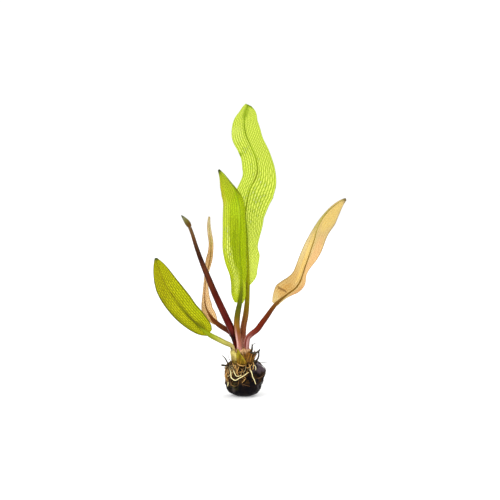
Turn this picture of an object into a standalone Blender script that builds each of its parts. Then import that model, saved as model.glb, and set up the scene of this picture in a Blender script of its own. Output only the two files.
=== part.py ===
"""A Madagascar lace plant, as sold for aquaria: leaves on stalks from a short crown, on a dark root plug.

Metres, +Z up. The origin is the centre of the plug's flat underside, and the plant is seen from -Y,
with +X to the right. Lengths below are in millimetres and are scaled once, where a mesh is made.
"""

import math
from typing import NamedTuple

import bmesh
import bpy
import numpy as np
from mathutils import Vector, noise
from mathutils.bvhtree import BVHTree

MM = 0.001
GAP = 0.35  # clear space between pieces that touch in life
TOWARDS_VIEWER = Vector((0, -1, 0))

PLUG_HEIGHT = 30.5
PLUG_HALF_WIDTH = 15.6
PLUG_HALF_DEPTH = 14.6
PLUG_SHIFT = 0.3  # the plug bulges a little to the right
PLUG_FACETS = (44, 24)
PLUG_SQUARENESS = 3.0  # 2 is an ellipsoid, and more is a box with round edges
PLUG_FOOT_SQUARENESS = 3.9
PLUG_TAPER = 0.1  # how much narrower the underside is than the shoulder
PLUG_DIP = 3.9  # the hollow in its top that the crown sits in
PLUG_SHOULDERS = 5.0  # how much its left and right sides stand up past its front
PLUG_DIP_RADIUS = 12
PLUG_NOTCH = 3.2  # how much lower its front edge is
PLUG_ROUGHNESS = 0.55

CROWN_BASE = PLUG_HEIGHT - PLUG_DIP + 2 * GAP
CROWN_TOP = 39.4
CROWN_RADIUS = 8.3
CROWN_CENTRE_X = -0.9
CROWN_SQUASH = 0.84  # depth over width
CROWN_ROUNDING = 0.18
CROWN_STEPS = 20

BLADE_THICKNESS = 0.8
STEP_ALONG_BLADE = 4.6
STEP_ALONG_STALK = 5.5
SECTION_SIDES = 12


class Rib(NamedTuple):
    """One station of a leaf: its place, its stalk or midrib radius, and how far each margin stands off."""

    x: float
    y: float
    z: float
    radius: float
    left: float = 0
    right: float = 0
    left_back: float = 0  # how far behind the midrib the left margin lies
    right_back: float = 0


TALL_LEAF = [
    Rib(-0.3, 2.6, CROWN_TOP + GAP, 2.7),
    Rib(-0.7, 2.5, 47.5, 2.7),
    Rib(-0.1, 2.9, 58.5, 2.6),
    Rib(1.8, 3.6, 68.7, 2.5),
    Rib(3.0, 4.4, 79.7, 2.15),
    Rib(3.5, 5.4, 89.0, 1.9),
    Rib(3.6, 5.7, 93.0, 1.9, 0.8, 0.9),
    Rib(3.7, 6.1, 97.5, 1.8, 3.4, 4.6),
    Rib(3.9, 6.5, 102.0, 1.6, 6.0, 7.1),
    Rib(4.1, 7.0, 107.8, 1.5, 8.4, 7.9, 1.5, 1.0),
    Rib(3.5, 8.0, 118.8, 1.3, 12.0, 10.5, 1.0, 2.0),
    Rib(3.2, 8.5, 125.4, 1.2, 13.4, 8.9, -0.5, 3.2),
    Rib(3.0, 9.0, 130.7, 1.2, 14.4, 9.5, -1.5, 4.0),
    Rib(2.4, 10.0, 143.5, 1.2, 14.9, 14.0, -2.5, 2.0),
    Rib(1.5, 11.0, 153.7, 1.1, 13.4, 16.7, 0.5, -1.5),
    Rib(2.8, 11.4, 164.7, 1.1, 13.2, 18.9, 3.0, -2.5),
    Rib(5.5, 11.2, 176.2, 1.1, 10.2, 21.2, 4.5, -1.0),
    Rib(10.0, 10.6, 185.1, 1.0, 11.9, 19.1, 4.0, 2.0),
    Rib(11.8, 10.6, 192.8, 1.0, 12.7, 15.2, 2.5, 4.0),
    Rib(10.0, 12.0, 203.8, 1.0, 12.3, 13.3, 2.0, 3.5),
    Rib(6.0, 14.0, 213.2, 0.9, 11.6, 12.3, -3.0, 1.0),
    Rib(2.1, 15.6, 222.5, 0.9, 12.6, 13.2, -4.0, -1.5),
    Rib(0.6, 16.0, 232.7, 0.8, 9.8, 11.9, -2.0, -1.5),
    Rib(1.7, 15.0, 241.2, 0.7, 5.3, 9.9, 0.0, 0.5),
    Rib(3.1, 14.0, 245.7, 0.6, 3.6, 7.4, 0.0, 0.5),
    Rib(4.2, 13.4, 248.3, 0.5, 2.4, 2.4),
]

FRONT_LEAF = [
    Rib(-3.4, -3.7, CROWN_TOP + GAP, 2.1),
    Rib(-3.8, -4.4, 46.0, 2.3),
    Rib(-5.0, -5.8, 54.5, 2.5),
    Rib(-5.7, -6.2, 63.0, 2.6),
    Rib(-5.1, -6.6, 70.6, 2.5),
    Rib(-4.0, -6.9, 76.6, 2.3),
    Rib(-3.2, -7.2, 80.4, 2.1, 4.4, 2.4),
    Rib(-2.3, -7.4, 87.0, 1.8, 8.0, 4.4, 1.0, 0.5),
    Rib(-1.7, -7.8, 96.4, 1.5, 9.1, 3.6, 2.0, 1.5),
    Rib(-2.1, -8.4, 105.8, 1.3, 10.0, 4.8, 3.0, 2.0),
    Rib(-3.0, -9.2, 116.0, 1.2, 12.6, 5.8, 2.0, 2.0),
    Rib(-3.4, -10.0, 126.2, 1.2, 14.2, 6.2, 0.0, 2.0),
    Rib(-3.6, -10.6, 137.3, 1.1, 14.0, 5.9, -1.5, 2.5),
    Rib(-3.4, -11.0, 149.2, 1.1, 14.1, 5.3, -0.5, 3.0),
    Rib(-3.8, -11.4, 160.2, 1.0, 13.6, 5.4, 2.0, 3.5),
    Rib(-5.5, -11.9, 169.6, 1.0, 12.2, 4.2, 3.0, 4.5),
    Rib(-8.0, -12.5, 177.2, 0.9, 11.6, 1.8, 2.0, 5.5),
    Rib(-11.9, -13.1, 183.3, 0.8, 9.2, 1.0, 1.0, 5.0),
    Rib(-16.0, -13.6, 188.6, 0.7, 5.2, 0.9, 0.5, 3.5),
    Rib(-19.0, -13.9, 191.8, 0.6, 2.4, 0.8, 0.3, 1.5),
    Rib(-20.9, -14.0, 193.9, 0.5, 0.8, 0.6),
]

LOW_LEAF = [
    Rib(-6.4, -8.0, 32.8, 1.3),
    Rib(-6.9, -8.3, 36.0, 2.0),
    Rib(-7.6, -8.6, 40.6, 2.1),
    Rib(-10.0, -9.2, 44.5, 2.2),
    Rib(-14.6, -10.2, 46.9, 2.3),
    Rib(-20.8, -11.6, 49.9, 2.3),
    Rib(-26.6, -13.4, 53.1, 2.2),
    Rib(-29.5, -14.4, 55.1, 2.0, 2.2, 4.6),
    Rib(-32.6, -15.6, 57.8, 1.7, 4.8, 7.8, -0.5, 0.5),
    Rib(-36.9, -17.0, 61.7, 1.4, 6.8, 9.6, -1.0, 1.0),
    Rib(-42.2, -18.6, 67.1, 1.3, 8.4, 10.8, -1.5, 1.5),
    Rib(-48.2, -20.0, 73.5, 1.2, 9.5, 11.2, -1.5, 1.5),
    Rib(-53.7, -21.0, 80.6, 1.1, 10.3, 11.8, -1.0, 1.5),
    Rib(-58.8, -21.5, 87.9, 1.0, 10.5, 11.5, -1.0, 1.0),
    Rib(-63.5, -21.4, 95.1, 0.9, 9.8, 10.7, -1.0, 1.0),
    Rib(-66.9, -20.8, 101.5, 0.9, 8.2, 9.6, -0.5, 0.5),
    Rib(-69.6, -20.0, 108.0, 0.8, 6.1, 7.8, -0.5, 0.5),
    Rib(-71.6, -19.0, 113.7, 0.7, 4.0, 5.3),
    Rib(-72.9, -18.0, 117.6, 0.6, 2.1, 2.8),
    Rib(-73.6, -17.2, 120.0, 0.5, 0.9, 0.9),
]

AMBER_LEAF = [
    Rib(2.6, -1.6, CROWN_TOP + 1.6 * GAP, 2.2),
    Rib(2.9, -2.6, 45.9, 2.3),
    Rib(3.9, -3.8, 50.6, 2.3),
    Rib(7.3, -4.4, 54.0, 2.4),
    Rib(11.7, -5.0, 57.6, 2.5),
    Rib(15.6, -5.6, 63.1, 2.4),
    Rib(20.0, -6.2, 69.2, 2.2),
    Rib(24.0, -6.6, 75.1, 1.9),
    Rib(27.0, -6.9, 79.0, 1.7, 3.7, 1.9),
    Rib(30.4, -7.0, 82.4, 1.4, 8.0, 2.2, -0.5, 0.5),
    Rib(34.9, -7.0, 86.1, 1.2, 12.0, 2.2, -2.0, 1.5),
    Rib(39.5, -7.0, 89.6, 1.1, 12.5, 3.2, -3.0, 1.5),
    Rib(44.2, -7.0, 93.3, 1.0, 12.1, 4.7, -1.5, 1.0),
    Rib(47.8, -7.0, 98.7, 1.0, 10.5, 5.0, 0.0, -0.5),
    Rib(50.2, -6.8, 105.0, 0.9, 8.3, 3.1, 1.5, -2.5),
    Rib(52.3, -6.4, 111.7, 0.9, 7.6, 4.3, 2.0, -2.5),
    Rib(54.7, -5.8, 118.4, 0.8, 7.6, 7.0, 2.0, -1.0),
    Rib(57.1, -5.0, 125.6, 0.8, 6.9, 8.8, 2.5, 0.0),
    Rib(59.5, -4.0, 132.7, 0.8, 5.7, 9.3, 3.5, 0.5),
    Rib(61.6, -3.0, 140.3, 0.7, 3.9, 10.1, 5.0, 0.5),
    Rib(64.3, -1.8, 147.4, 0.7, 1.9, 11.3, 6.0, 0.5),
    Rib(68.9, -0.2, 154.7, 0.7, 0.9, 11.7, 5.5, 0.5),
    Rib(75.0, 1.6, 161.0, 0.6, 0.9, 9.0, 4.0, 0.3),
    Rib(81.6, 3.2, 165.8, 0.6, 0.9, 5.0, 2.0, 0.2),
    Rib(87.2, 4.4, 168.5, 0.5, 0.7, 1.2),
]

CURLED_LEAF = [
    Rib(-4.6, 3.4, CROWN_TOP + GAP, 1.7),
    Rib(-6.2, 5.8, 47.0, 1.8),
    Rib(-9.2, 8.0, 50.9, 2.1),
    Rib(-13.4, 10.0, 54.4, 2.3),
    Rib(-19.1, 12.0, 57.6, 2.3),
    Rib(-23.6, 13.3, 60.8, 2.1, 2.4, 2.2),
    Rib(-26.7, 14.2, 63.6, 1.8, 3.4, 4.4),
    Rib(-29.5, 15.0, 67.8, 1.2, 4.6, 5.2, -1.0, 1.0),
    Rib(-31.7, 16.0, 71.6, 1.0, 4.6, 5.0, -2.0, 2.0),
    Rib(-33.1, 16.5, 76.2, 0.9, 3.4, 5.4, -3.5, 3.0),
    Rib(-33.8, 17.0, 82.0, 0.9, 1.9, 4.4, -4.5, 4.0),
    Rib(-33.6, 17.0, 88.8, 0.8, 1.4, 3.0, -5.0, 5.0),
    Rib(-33.0, 17.0, 95.6, 0.8, 1.4, 2.0, -5.0, 5.5),
    Rib(-31.8, 17.0, 102.4, 0.8, 1.9, 1.6, -4.5, 5.5),
    Rib(-30.4, 17.0, 108.6, 0.7, 2.8, 1.6, -4.0, 5.0),
    Rib(-29.0, 17.0, 115.4, 0.7, 3.6, 2.0, -3.5, 4.5),
    Rib(-28.2, 16.6, 122.3, 0.7, 2.5, 2.0, -3.5, 4.5),
    Rib(-28.1, 16.2, 129.9, 0.7, 1.8, 1.9, -3.0, 4.0),
    Rib(-29.1, 15.6, 137.6, 0.6, 1.8, 1.6, -2.5, 3.0),
    Rib(-29.9, 15.0, 145.3, 0.6, 1.4, 1.4, -1.5, 1.8),
    Rib(-29.5, 14.4, 152.8, 0.5, 0.8, 0.8),
]

FLOWER_STALK = [
    Rib(-6.4, -0.5, CROWN_TOP + GAP, 1.8),
    Rib(-6.8, -0.8, 44.0, 2.0),
    Rib(-8.2, -1.7, 50.0, 2.5),
    Rib(-10.4, -3.3, 57.6, 3.0),
    Rib(-13.6, -4.4, 64.8, 3.1),
    Rib(-18.5, -5.4, 75.6, 3.0),
    Rib(-24.3, -6.2, 88.5, 2.8),
    Rib(-30.0, -6.8, 102.4, 2.5),
    Rib(-35.5, -7.2, 116.0, 2.1),
    Rib(-39.8, -7.4, 128.2, 1.8),
    Rib(-43.0, -7.4, 138.6, 1.55),
    Rib(-45.3, -7.4, 144.8, 1.5),
]
FLOWER_BUD = [
    Rib(-45.7, -7.4, 145.9, 1.5),
    Rib(-46.6, -7.4, 147.7, 2.3),
    Rib(-48.0, -7.4, 149.8, 2.2),
    Rib(-50.0, -7.4, 152.3, 1.5),
    Rib(-52.0, -7.4, 154.7, 0.8),
    Rib(-52.6, -7.4, 155.3, 0.4),
]

LEAVES = {
    "leaf_tall": ("leaf_lime", TALL_LEAF),
    "leaf_front": ("leaf_lime", FRONT_LEAF),
    "leaf_low": ("leaf_olive", LOW_LEAF),
    "leaf_amber": ("leaf_amber", AMBER_LEAF),
    "leaf_curled": ("leaf_amber", CURLED_LEAF),
    "flower_stalk": ("stalk_maroon", FLOWER_STALK),
    "flower_bud": ("bud", FLOWER_BUD),
}

# Scale leaves round the crown: finish, middle and half-spread of the azimuth in degrees, foot, tip, how far
# the tip narrows and how far it leans out. Azimuth 0 is +X and 270 faces the viewer.
SHEATHS = {
    "sheath_green": ("husk_green", 262, 24, 28.6, 40.6, 0.85, 0.3),
    "sheath_brown": ("husk_brown", 312, 25, 28.2, 39.6, 0.2, 1.1),
    "sheath_right": ("husk_brown", 6, 26, 28.6, 37.0, 0.5, 0.9),
    "sheath_back": ("husk_brown", 88, 44, 28.6, 38.0, 0.6, 0.5),
    "sheath_cream": ("husk_cream", 194, 26, 28.6, 43.5, 0.7, 1.3),
}
SHEATH_THICKNESS = 0.7
SHEATH_GRID = (8, 6)

# Roots over the plug: finish, radius, then the route as (azimuth, elevation) points from the plug's middle.
ROOTS = {
    "root_loop_outer": (
        "root_cream",
        0.55,
        [(204, 40), (211, 36), (220, 27), (223, 13), (231, 4), (242, 1), (254, 8), (268, 16), (280, 24), (291, 29)],
    ),
    "root_loop_inner": ("root_cream", 0.5, [(222, 42), (232, 31), (239, 21), (246, 15), (256, 17), (262, 21)]),
    "root_straight": ("root_cream", 0.55, [(295, 42), (298, 28), (303, 8), (311, -12)]),
    "root_left_thick": ("root_brown", 0.9, [(195, 44), (190, 27), (203, 14), (206, 3)]),
    "root_left_low": ("root_cream", 0.55, [(215, -6), (214, -12), (211, -20)]),
    "root_left_end": ("root_brown", 0.55, [(180, 42), (178, 22), (183, 3)]),
    "root_front_thin": ("root_brown", 0.45, [(263, -11), (268, -12), (276, -14), (292, -18)]),
    "root_front_short": ("root_brown", 0.45, [(279, 8), (271, -1), (265, -7)]),
    "root_right_arc": ("root_cream", 0.5, [(322, 45), (318, 38), (314, 30)]),
    "root_right_flat": ("root_brown", 0.45, [(315, 5), (322, 6), (333, 9), (345, 13)]),
    "root_right_side": ("root_brown", 0.6, [(14, 41), (20, 30), (17, 6), (22, -16)]),
    "root_back_right": ("root_cream", 0.65, [(48, 42), (44, 26), (52, 2), (50, -20)]),
    "root_back_middle": ("root_brown", 0.6, [(86, 42), (92, 24), (84, 0), (90, -26)]),
    "root_back_left": ("root_cream", 0.65, [(128, 42), (136, 24), (130, 2), (138, -20)]),
    "root_left_side": ("root_brown", 0.6, [(162, 43), (166, 24), (162, 2), (170, -20)]),
}
ROOT_STEP = 2.4
ROOT_CLEARANCE = 0.5


# Finish name: base colour and roughness.
FINISHES = {
    "leaf_lime": ((0.45, 0.62, 0.07), 0.45),
    "leaf_olive": ((0.4, 0.46, 0.04), 0.45),
    "leaf_amber": ((0.78, 0.5, 0.2), 0.5),
    "stalk_maroon": ((0.16, 0.03, 0.02), 0.4),
    "bud": ((0.1, 0.11, 0.04), 0.5),
    "crown": ((0.52, 0.42, 0.1), 0.5),
    "husk_green": ((0.5, 0.45, 0.06), 0.5),
    "husk_cream": ((0.72, 0.62, 0.28), 0.5),
    "husk_brown": ((0.3, 0.16, 0.04), 0.65),
    "peat": ((0.018, 0.015, 0.014), 0.7),
    "root_cream": ((0.75, 0.6, 0.32), 0.55),
    "root_brown": ((0.33, 0.19, 0.07), 0.6),
}


def clear_scene():
    """Removes the startup objects."""
    for thing in list(bpy.data.objects):
        bpy.data.objects.remove(thing, do_unlink=True)


def finish(name, colour, roughness):
    """A plain material for one piece."""
    made = bpy.data.materials.new(name)
    made.use_nodes = True
    shader = made.node_tree.nodes["Principled BSDF"]
    shader.inputs["Base Color"].default_value = (*colour, 1)
    shader.inputs["Roughness"].default_value = roughness
    shader.inputs["Metallic"].default_value = 0
    return made


def add_piece(name, mesh, material, collection):
    """One named object, with its own finish, in the plant's collection."""
    piece = bpy.data.objects.new(name, mesh)
    mesh.materials.append(material)
    mesh.shade_smooth()
    mesh.set_sharp_from_angle(angle=math.radians(50))
    collection.objects.link(piece)
    return piece


def mesh_of(name, shape):
    """A mesh in metres from a bmesh in millimetres, with its faces turned outwards."""
    bmesh.ops.recalc_face_normals(shape, faces=shape.faces)
    bmesh.ops.scale(shape, vec=(MM, MM, MM), verts=shape.verts)
    made = bpy.data.meshes.new(name)
    shape.to_mesh(made)
    shape.free()
    return made


def catmull_rom(rows, at):
    """The row at a place along a smooth curve through the given rows, which whole numbers give back."""
    k = min(int(at), len(rows) - 2)
    t = at - k
    before, here = rows[max(k - 1, 0)], rows[k]
    there, after = rows[k + 1], rows[min(k + 2, len(rows) - 1)]
    return here + 0.5 * t * (
        (there - before)
        + t * ((2 * before - 5 * here + 4 * there - after) + t * (3 * (here - there) + after - before))
    )


def stations(ribs):
    """The ribs of a leaf read at even steps along its line, finer where there is a blade."""
    rows = np.array(ribs, float)
    found = []
    for k in range(len(rows) - 1):
        length = np.linalg.norm(rows[k + 1, :3] - rows[k, :3])
        bladed = rows[k + 1, 4] > 0
        steps = max(1, round(length / (STEP_ALONG_BLADE if bladed else STEP_ALONG_STALK)))
        found += [catmull_rom(rows, k + s / steps) for s in range(steps)]
    return [Rib(*row) for row in [*found, rows[-1]]]


def half_section(width, back, radius, side):
    """One half of a blade's section, as (across, forward) points from the margin in to beside the midrib.

    It gives the margin, then the face and the underside, each from outside in. side is -1 for the left.
    """
    margin = Vector((side * width, -back))
    along = margin.normalized() if width > radius else Vector((side, 0))
    facing = Vector((-along.y, along.x)) * side
    middle = margin * 0.52 + facing * 0.03 * margin.length
    foot = along * min(0.95 * radius, 0.6 * margin.length)
    offset = facing * BLADE_THICKNESS / 2
    return margin, (middle + offset, foot + offset), (middle - offset, foot - offset)


def section(rib):
    """The outline of a leaf's section at a rib, from the left margin over the face and back underneath.

    It passes from a round stalk to a thin blade with a raised midrib as the margins leave the stalk.
    """
    turns = [math.pi - 2 * math.pi * k / SECTION_SIDES for k in range(SECTION_SIDES)]
    stalk = [Vector((math.cos(a), math.sin(a))) * rib.radius for a in turns]
    left, left_face, left_under = half_section(rib.left, rib.left_back, rib.radius, -1)
    right, right_face, right_under = half_section(rib.right, rib.right_back, rib.radius, 1)
    crest = max(rib.radius, 0.75 * BLADE_THICKNESS)
    up = (left_face[1] + right_face[1] - left_under[1] - right_under[1]).normalized()
    blade = [left, *left_face, up * crest, *reversed(right_face), right, *right_under]
    blade += [-up * crest, *reversed(left_under)]
    middle = (rib.left + rib.right) / 2
    widths = [rib.left] * 3 + [middle] + [rib.right] * 5 + [middle] + [rib.left] * 2
    shares = [min(max((width - 0.9 * rib.radius) / (0.9 * rib.radius), 0), 1) for width in widths]
    return [a.lerp(b, share * share * (3 - 2 * share)) for a, b, share in zip(stalk, blade, shares)]


def leaf_mesh(name, ribs):
    """The skin through a leaf's sections, from the cut base of its stalk to its tip."""
    row = stations(ribs)
    centres = [Vector(rib[:3]) for rib in row]
    shape = bmesh.new()
    rings = []
    for k, rib in enumerate(row):
        growth = (centres[min(k + 1, len(row) - 1)] - centres[max(k - 1, 0)]).normalized()
        facing = (TOWARDS_VIEWER - growth * growth.dot(TOWARDS_VIEWER)).normalized()
        across = growth.cross(facing)
        rings.append([shape.verts.new(centres[k] + across * p.x + facing * p.y) for p in section(rib)])
    for lower, upper in zip(rings, rings[1:]):
        for k in range(SECTION_SIDES):
            after = (k + 1) % SECTION_SIDES
            shape.faces.new((lower[k], lower[after], upper[after], upper[k]))
    shape.faces.new(rings[0])
    tip = shape.verts.new(centres[-1] + growth * 0.8)
    for k in range(SECTION_SIDES):
        shape.faces.new((rings[-1][k], rings[-1][(k + 1) % SECTION_SIDES], tip))
    return mesh_of(name, shape)


def bump(at, centre, width):
    """A smooth hill of height 1 at centre, on a scale of width."""
    return math.exp(-(((Vector(at) - Vector(centre)).length / width) ** 2))


def plug_point(direction):
    """A point of the plug's surface, for a direction from its middle."""
    level = math.hypot(direction.x, direction.y)
    power = PLUG_SQUARENESS if direction.z > 0 else PLUG_FOOT_SQUARENESS
    reach = (level**power + abs(direction.z) ** power) ** (-1 / power)
    share = direction.z * reach  # -1 at the underside and 1 at the top
    narrow = 1 - PLUG_TAPER * max(-share, 0) ** 1.6 - 0.07 * max(share, 0) ** 2
    x = direction.x * reach * PLUG_HALF_WIDTH * narrow
    y = direction.y * reach * PLUG_HALF_DEPTH * narrow
    z = (0.5 + 0.5 * share) * PLUG_HEIGHT
    out = Vector((direction.x, direction.y, 0.25 * direction.z))
    lumps = 3.5 * bump((x, y, z), (15.5, -3, 19.5), 7.5)  # the shoulder on the right
    lumps -= 1.7 * bump((x, y, z), (15, -2, 29), 6)  # its slanting top
    lumps -= 2.4 * bump((x, y, z), (-1, -15, 20), 7.5)  # the cavity under the crown, above the bowl in front
    lumps += 0.9 * bump((x, y, z), (-15, -5, 18), 7)
    lumps += 1.5 * bump((x, y, z), (3, 14, 20), 9)
    lumps -= 1.4 * bump((x, y, z), (15, -5, 11), 5)
    lumps += PLUG_ROUGHNESS * noise.noise(Vector((x, y, z)) * 0.32)
    lumps += 0.5 * PLUG_ROUGHNESS * noise.noise(Vector((x, y, z)) * 0.75)
    hollow = max(1 - (level * reach * PLUG_HALF_WIDTH / PLUG_DIP_RADIUS) ** 6, 0) if share > 0 else 0
    place = Vector((x + PLUG_SHIFT, y, z)) + out * lumps * min(1, 4 * z / PLUG_HEIGHT)
    tilt = PLUG_SHOULDERS * (x / PLUG_HALF_WIDTH) ** 4 - PLUG_NOTCH * max(-y / PLUG_HALF_DEPTH, 0) ** 3
    place.z += tilt * max(share, 0) - PLUG_DIP * hollow
    return place


def plug_mesh(name):
    """The lumpy plug, from a sphere whose points are moved out to its outline and flattened underneath."""
    shape = bmesh.new()
    bmesh.ops.create_uvsphere(shape, u_segments=PLUG_FACETS[0], v_segments=PLUG_FACETS[1], radius=1)
    for vert in shape.verts:
        vert.co = plug_point(vert.co.normalized())
        if vert.co.z < 0.75:
            vert.co.z = 0
    flat = [face for face in shape.faces if all(vert.co.z == 0 for vert in face.verts)]
    bmesh.ops.dissolve_faces(shape, faces=flat)
    return mesh_of(name, shape)


def crown_radius(z, rounding=0.0):
    """The crown's half-width at a height, with its top edge rounded off by a share of the width."""
    share = (z - CROWN_BASE) / (CROWN_TOP - CROWN_BASE)
    return CROWN_RADIUS * (1 - 0.1 * share - rounding * max(share, 0) ** 5)


def add_crown(material, collection):
    """The crown: a turned profile, squashed from front to back."""
    heights = np.linspace(CROWN_TOP, CROWN_BASE, 8)
    profile = [(0, CROWN_TOP), *((crown_radius(z, CROWN_ROUNDING), z) for z in heights), (0, CROWN_BASE)]
    mesh = bpy.data.meshes.new("crown")
    points = [(x * MM, 0, z * MM) for x, z in profile]
    mesh.from_pydata(points, [(k, k + 1) for k in range(len(points) - 1)], [])
    crown = bpy.data.objects.new("crown", mesh)
    mesh.materials.append(material)
    crown.location.x = CROWN_CENTRE_X * MM
    crown.scale.y = CROWN_SQUASH
    turn = crown.modifiers.new("turn", "SCREW")
    turn.steps = turn.render_steps = CROWN_STEPS
    turn.use_merge_vertices = True
    turn.merge_threshold = 0.00001
    collection.objects.link(crown)
    return crown


def add_sheath(name, spread, material, collection):
    """A scale leaf that hugs the crown: a sheet, broad at the foot and pointed at the tip, made thick."""
    middle, half_spread, foot, tip, narrowing, lean = spread
    columns, rows = SHEATH_GRID
    shape = bmesh.new()
    bmesh.ops.create_grid(shape, x_segments=columns, y_segments=rows, size=1)
    for vert in shape.verts:
        across, up = vert.co.x, 0.5 + 0.5 * vert.co.y
        turn = math.radians(middle + half_spread * across * (1 - narrowing * up**2.2))
        z = foot + (tip - foot) * up * (1 - 0.3 * across**2 * up)
        reach = crown_radius(z) + GAP + 0.3 + lean * up**2
        vert.co = (
            CROWN_CENTRE_X + reach * math.cos(turn),
            reach * CROWN_SQUASH * math.sin(turn) + 0.25 * math.sin(turn),
            z,
        )
    mesh = mesh_of(name, shape)
    centre = Vector((CROWN_CENTRE_X * MM, 0, 0))
    if sum((face.center - centre).xy.dot(face.normal.xy) for face in mesh.polygons) < 0:
        mesh.flip_normals()
    piece = add_piece(name, mesh, material, collection)
    wall = piece.modifiers.new("wall", "SOLIDIFY")
    wall.thickness = SHEATH_THICKNESS * MM
    wall.offset = 1
    piece.modifiers.new("flat facets", "TRIANGULATE")
    return piece


def add_root(name, radius, route, ground, material, collection):
    """A root laid over the plug: a round tube whose route is dropped onto the plug from outside."""
    rows = np.radians(np.array(route, float))
    points = []
    for k in range(len(rows) - 1):
        steps = max(1, round(np.linalg.norm(rows[k + 1] - rows[k]) * PLUG_HALF_WIDTH / ROOT_STEP))
        points += [catmull_rom(rows, k + s / steps) for s in range(steps)]
    points.append(rows[-1])
    places = []
    for turn, lift in points:
        outward = Vector((math.cos(turn) * math.cos(lift), math.sin(turn) * math.cos(lift), math.sin(lift)))
        start = outward * 3 * PLUG_HALF_WIDTH + Vector((0, 0, PLUG_HEIGHT / 2))
        hit, normal, _, _ = ground.ray_cast(start, -outward)
        places.append(hit + normal * (radius + ROOT_CLEARANCE))
    curve = bpy.data.curves.new(name, "CURVE")
    curve.dimensions = "3D"
    curve.bevel_depth = radius * MM
    curve.bevel_resolution = 1
    curve.use_fill_caps = True
    line = curve.splines.new("POLY")
    line.points.add(len(places) - 1)
    for k, (point, place) in enumerate(zip(line.points, places)):
        point.co = (*(place * MM), 1)
        point.radius = 1 - 0.4 * k / len(places)
    root = bpy.data.objects.new(name, curve)
    curve.materials.append(material)
    collection.objects.link(root)
    return root


def surface_of(mesh):
    """A tree of a mesh's faces, in millimetres, for dropping roots onto."""
    points = [vert.co / MM for vert in mesh.vertices]
    return BVHTree.FromPolygons(points, [face.vertices[:] for face in mesh.polygons])


def build():
    """Makes every piece of the plant."""
    clear_scene()
    plant = bpy.data.collections.new("Madagascar lace plant")
    bpy.context.scene.collection.children.link(plant)

    finishes = {name: finish(name, *look) for name, look in FINISHES.items()}
    for name, (look, ribs) in LEAVES.items():
        add_piece(name, leaf_mesh(name, ribs), finishes[look], plant)
    plug_body = plug_mesh("root_plug")
    add_piece("root_plug", plug_body, finishes["peat"], plant)
    add_crown(finishes["crown"], plant)
    for name, (look, *spread) in SHEATHS.items():
        add_sheath(name, spread, finishes[look], plant)
    ground = surface_of(plug_body)
    for name, (look, radius, route) in ROOTS.items():
        add_root(name, radius, route, ground, finishes[look], plant)


build()
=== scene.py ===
"""A young Madagascar lace plant, standing bare-rooted on the dark plug that its roots hold together.

Sizes in the code are millimetres, and become metres where a mesh is made. +X is to the right, +Y goes
away from the viewer and +Z up, and the origin is the centre of the plug's flat underside.
"""

from __future__ import annotations

import logging
import math
import random
from dataclasses import dataclass, field
from enum import Enum
from typing import NamedTuple, Sequence

import bmesh
import bpy
import numpy as np
from bpy.types import ColorRamp, Material, Mesh, Node, NodeSocket, NodeTree, Object
from mathutils import Euler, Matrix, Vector, noise
from mathutils.bvhtree import BVHTree

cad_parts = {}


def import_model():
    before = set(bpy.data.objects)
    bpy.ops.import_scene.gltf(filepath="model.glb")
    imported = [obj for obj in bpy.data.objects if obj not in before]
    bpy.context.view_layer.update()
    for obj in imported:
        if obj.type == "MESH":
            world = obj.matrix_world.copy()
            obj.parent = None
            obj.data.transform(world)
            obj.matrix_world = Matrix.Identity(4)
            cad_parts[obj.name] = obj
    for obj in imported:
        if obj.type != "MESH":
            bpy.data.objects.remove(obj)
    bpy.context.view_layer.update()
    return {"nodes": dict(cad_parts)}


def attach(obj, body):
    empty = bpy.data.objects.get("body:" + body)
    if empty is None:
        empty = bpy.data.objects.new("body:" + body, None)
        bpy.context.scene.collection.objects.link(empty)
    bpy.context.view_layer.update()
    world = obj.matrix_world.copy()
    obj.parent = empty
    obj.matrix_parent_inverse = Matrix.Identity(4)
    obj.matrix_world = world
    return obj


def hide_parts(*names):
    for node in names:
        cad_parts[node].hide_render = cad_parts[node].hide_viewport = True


LOG = logging.getLogger("lace plant")
MM = 0.001
BODY = "root"
TOWARDS_VIEWER = np.array((0.0, -1.0, 0.0))

Tint = tuple[float, float, float, float]
Point = tuple[float, float, float]


def tint(red: int, green: int, blue: int) -> Tint:
    """A linear colour from 0 to 255 display values.

    Args:
        red: How red it looks.
        green: How green it looks.
        blue: How blue it looks.

    Returns:
        The colour with full opacity.
    """
    parts = [c / 255 for c in (red, green, blue)]
    line = [c / 12.92 if c <= 0.04045 else ((c + 0.055) / 1.055) ** 2.4 for c in parts]
    return (*line, 1.0)


def past(value: float, start: float, length: float) -> float:
    """How far a value is past a start, from 0 there to 1 a length further on."""
    return min(max((value - start) / length, 0.0), 1.0)


class Side(Enum):
    """The two halves of a blade, as the viewer sees them."""

    LEFT = -1
    RIGHT = 1


# Node trees


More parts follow.
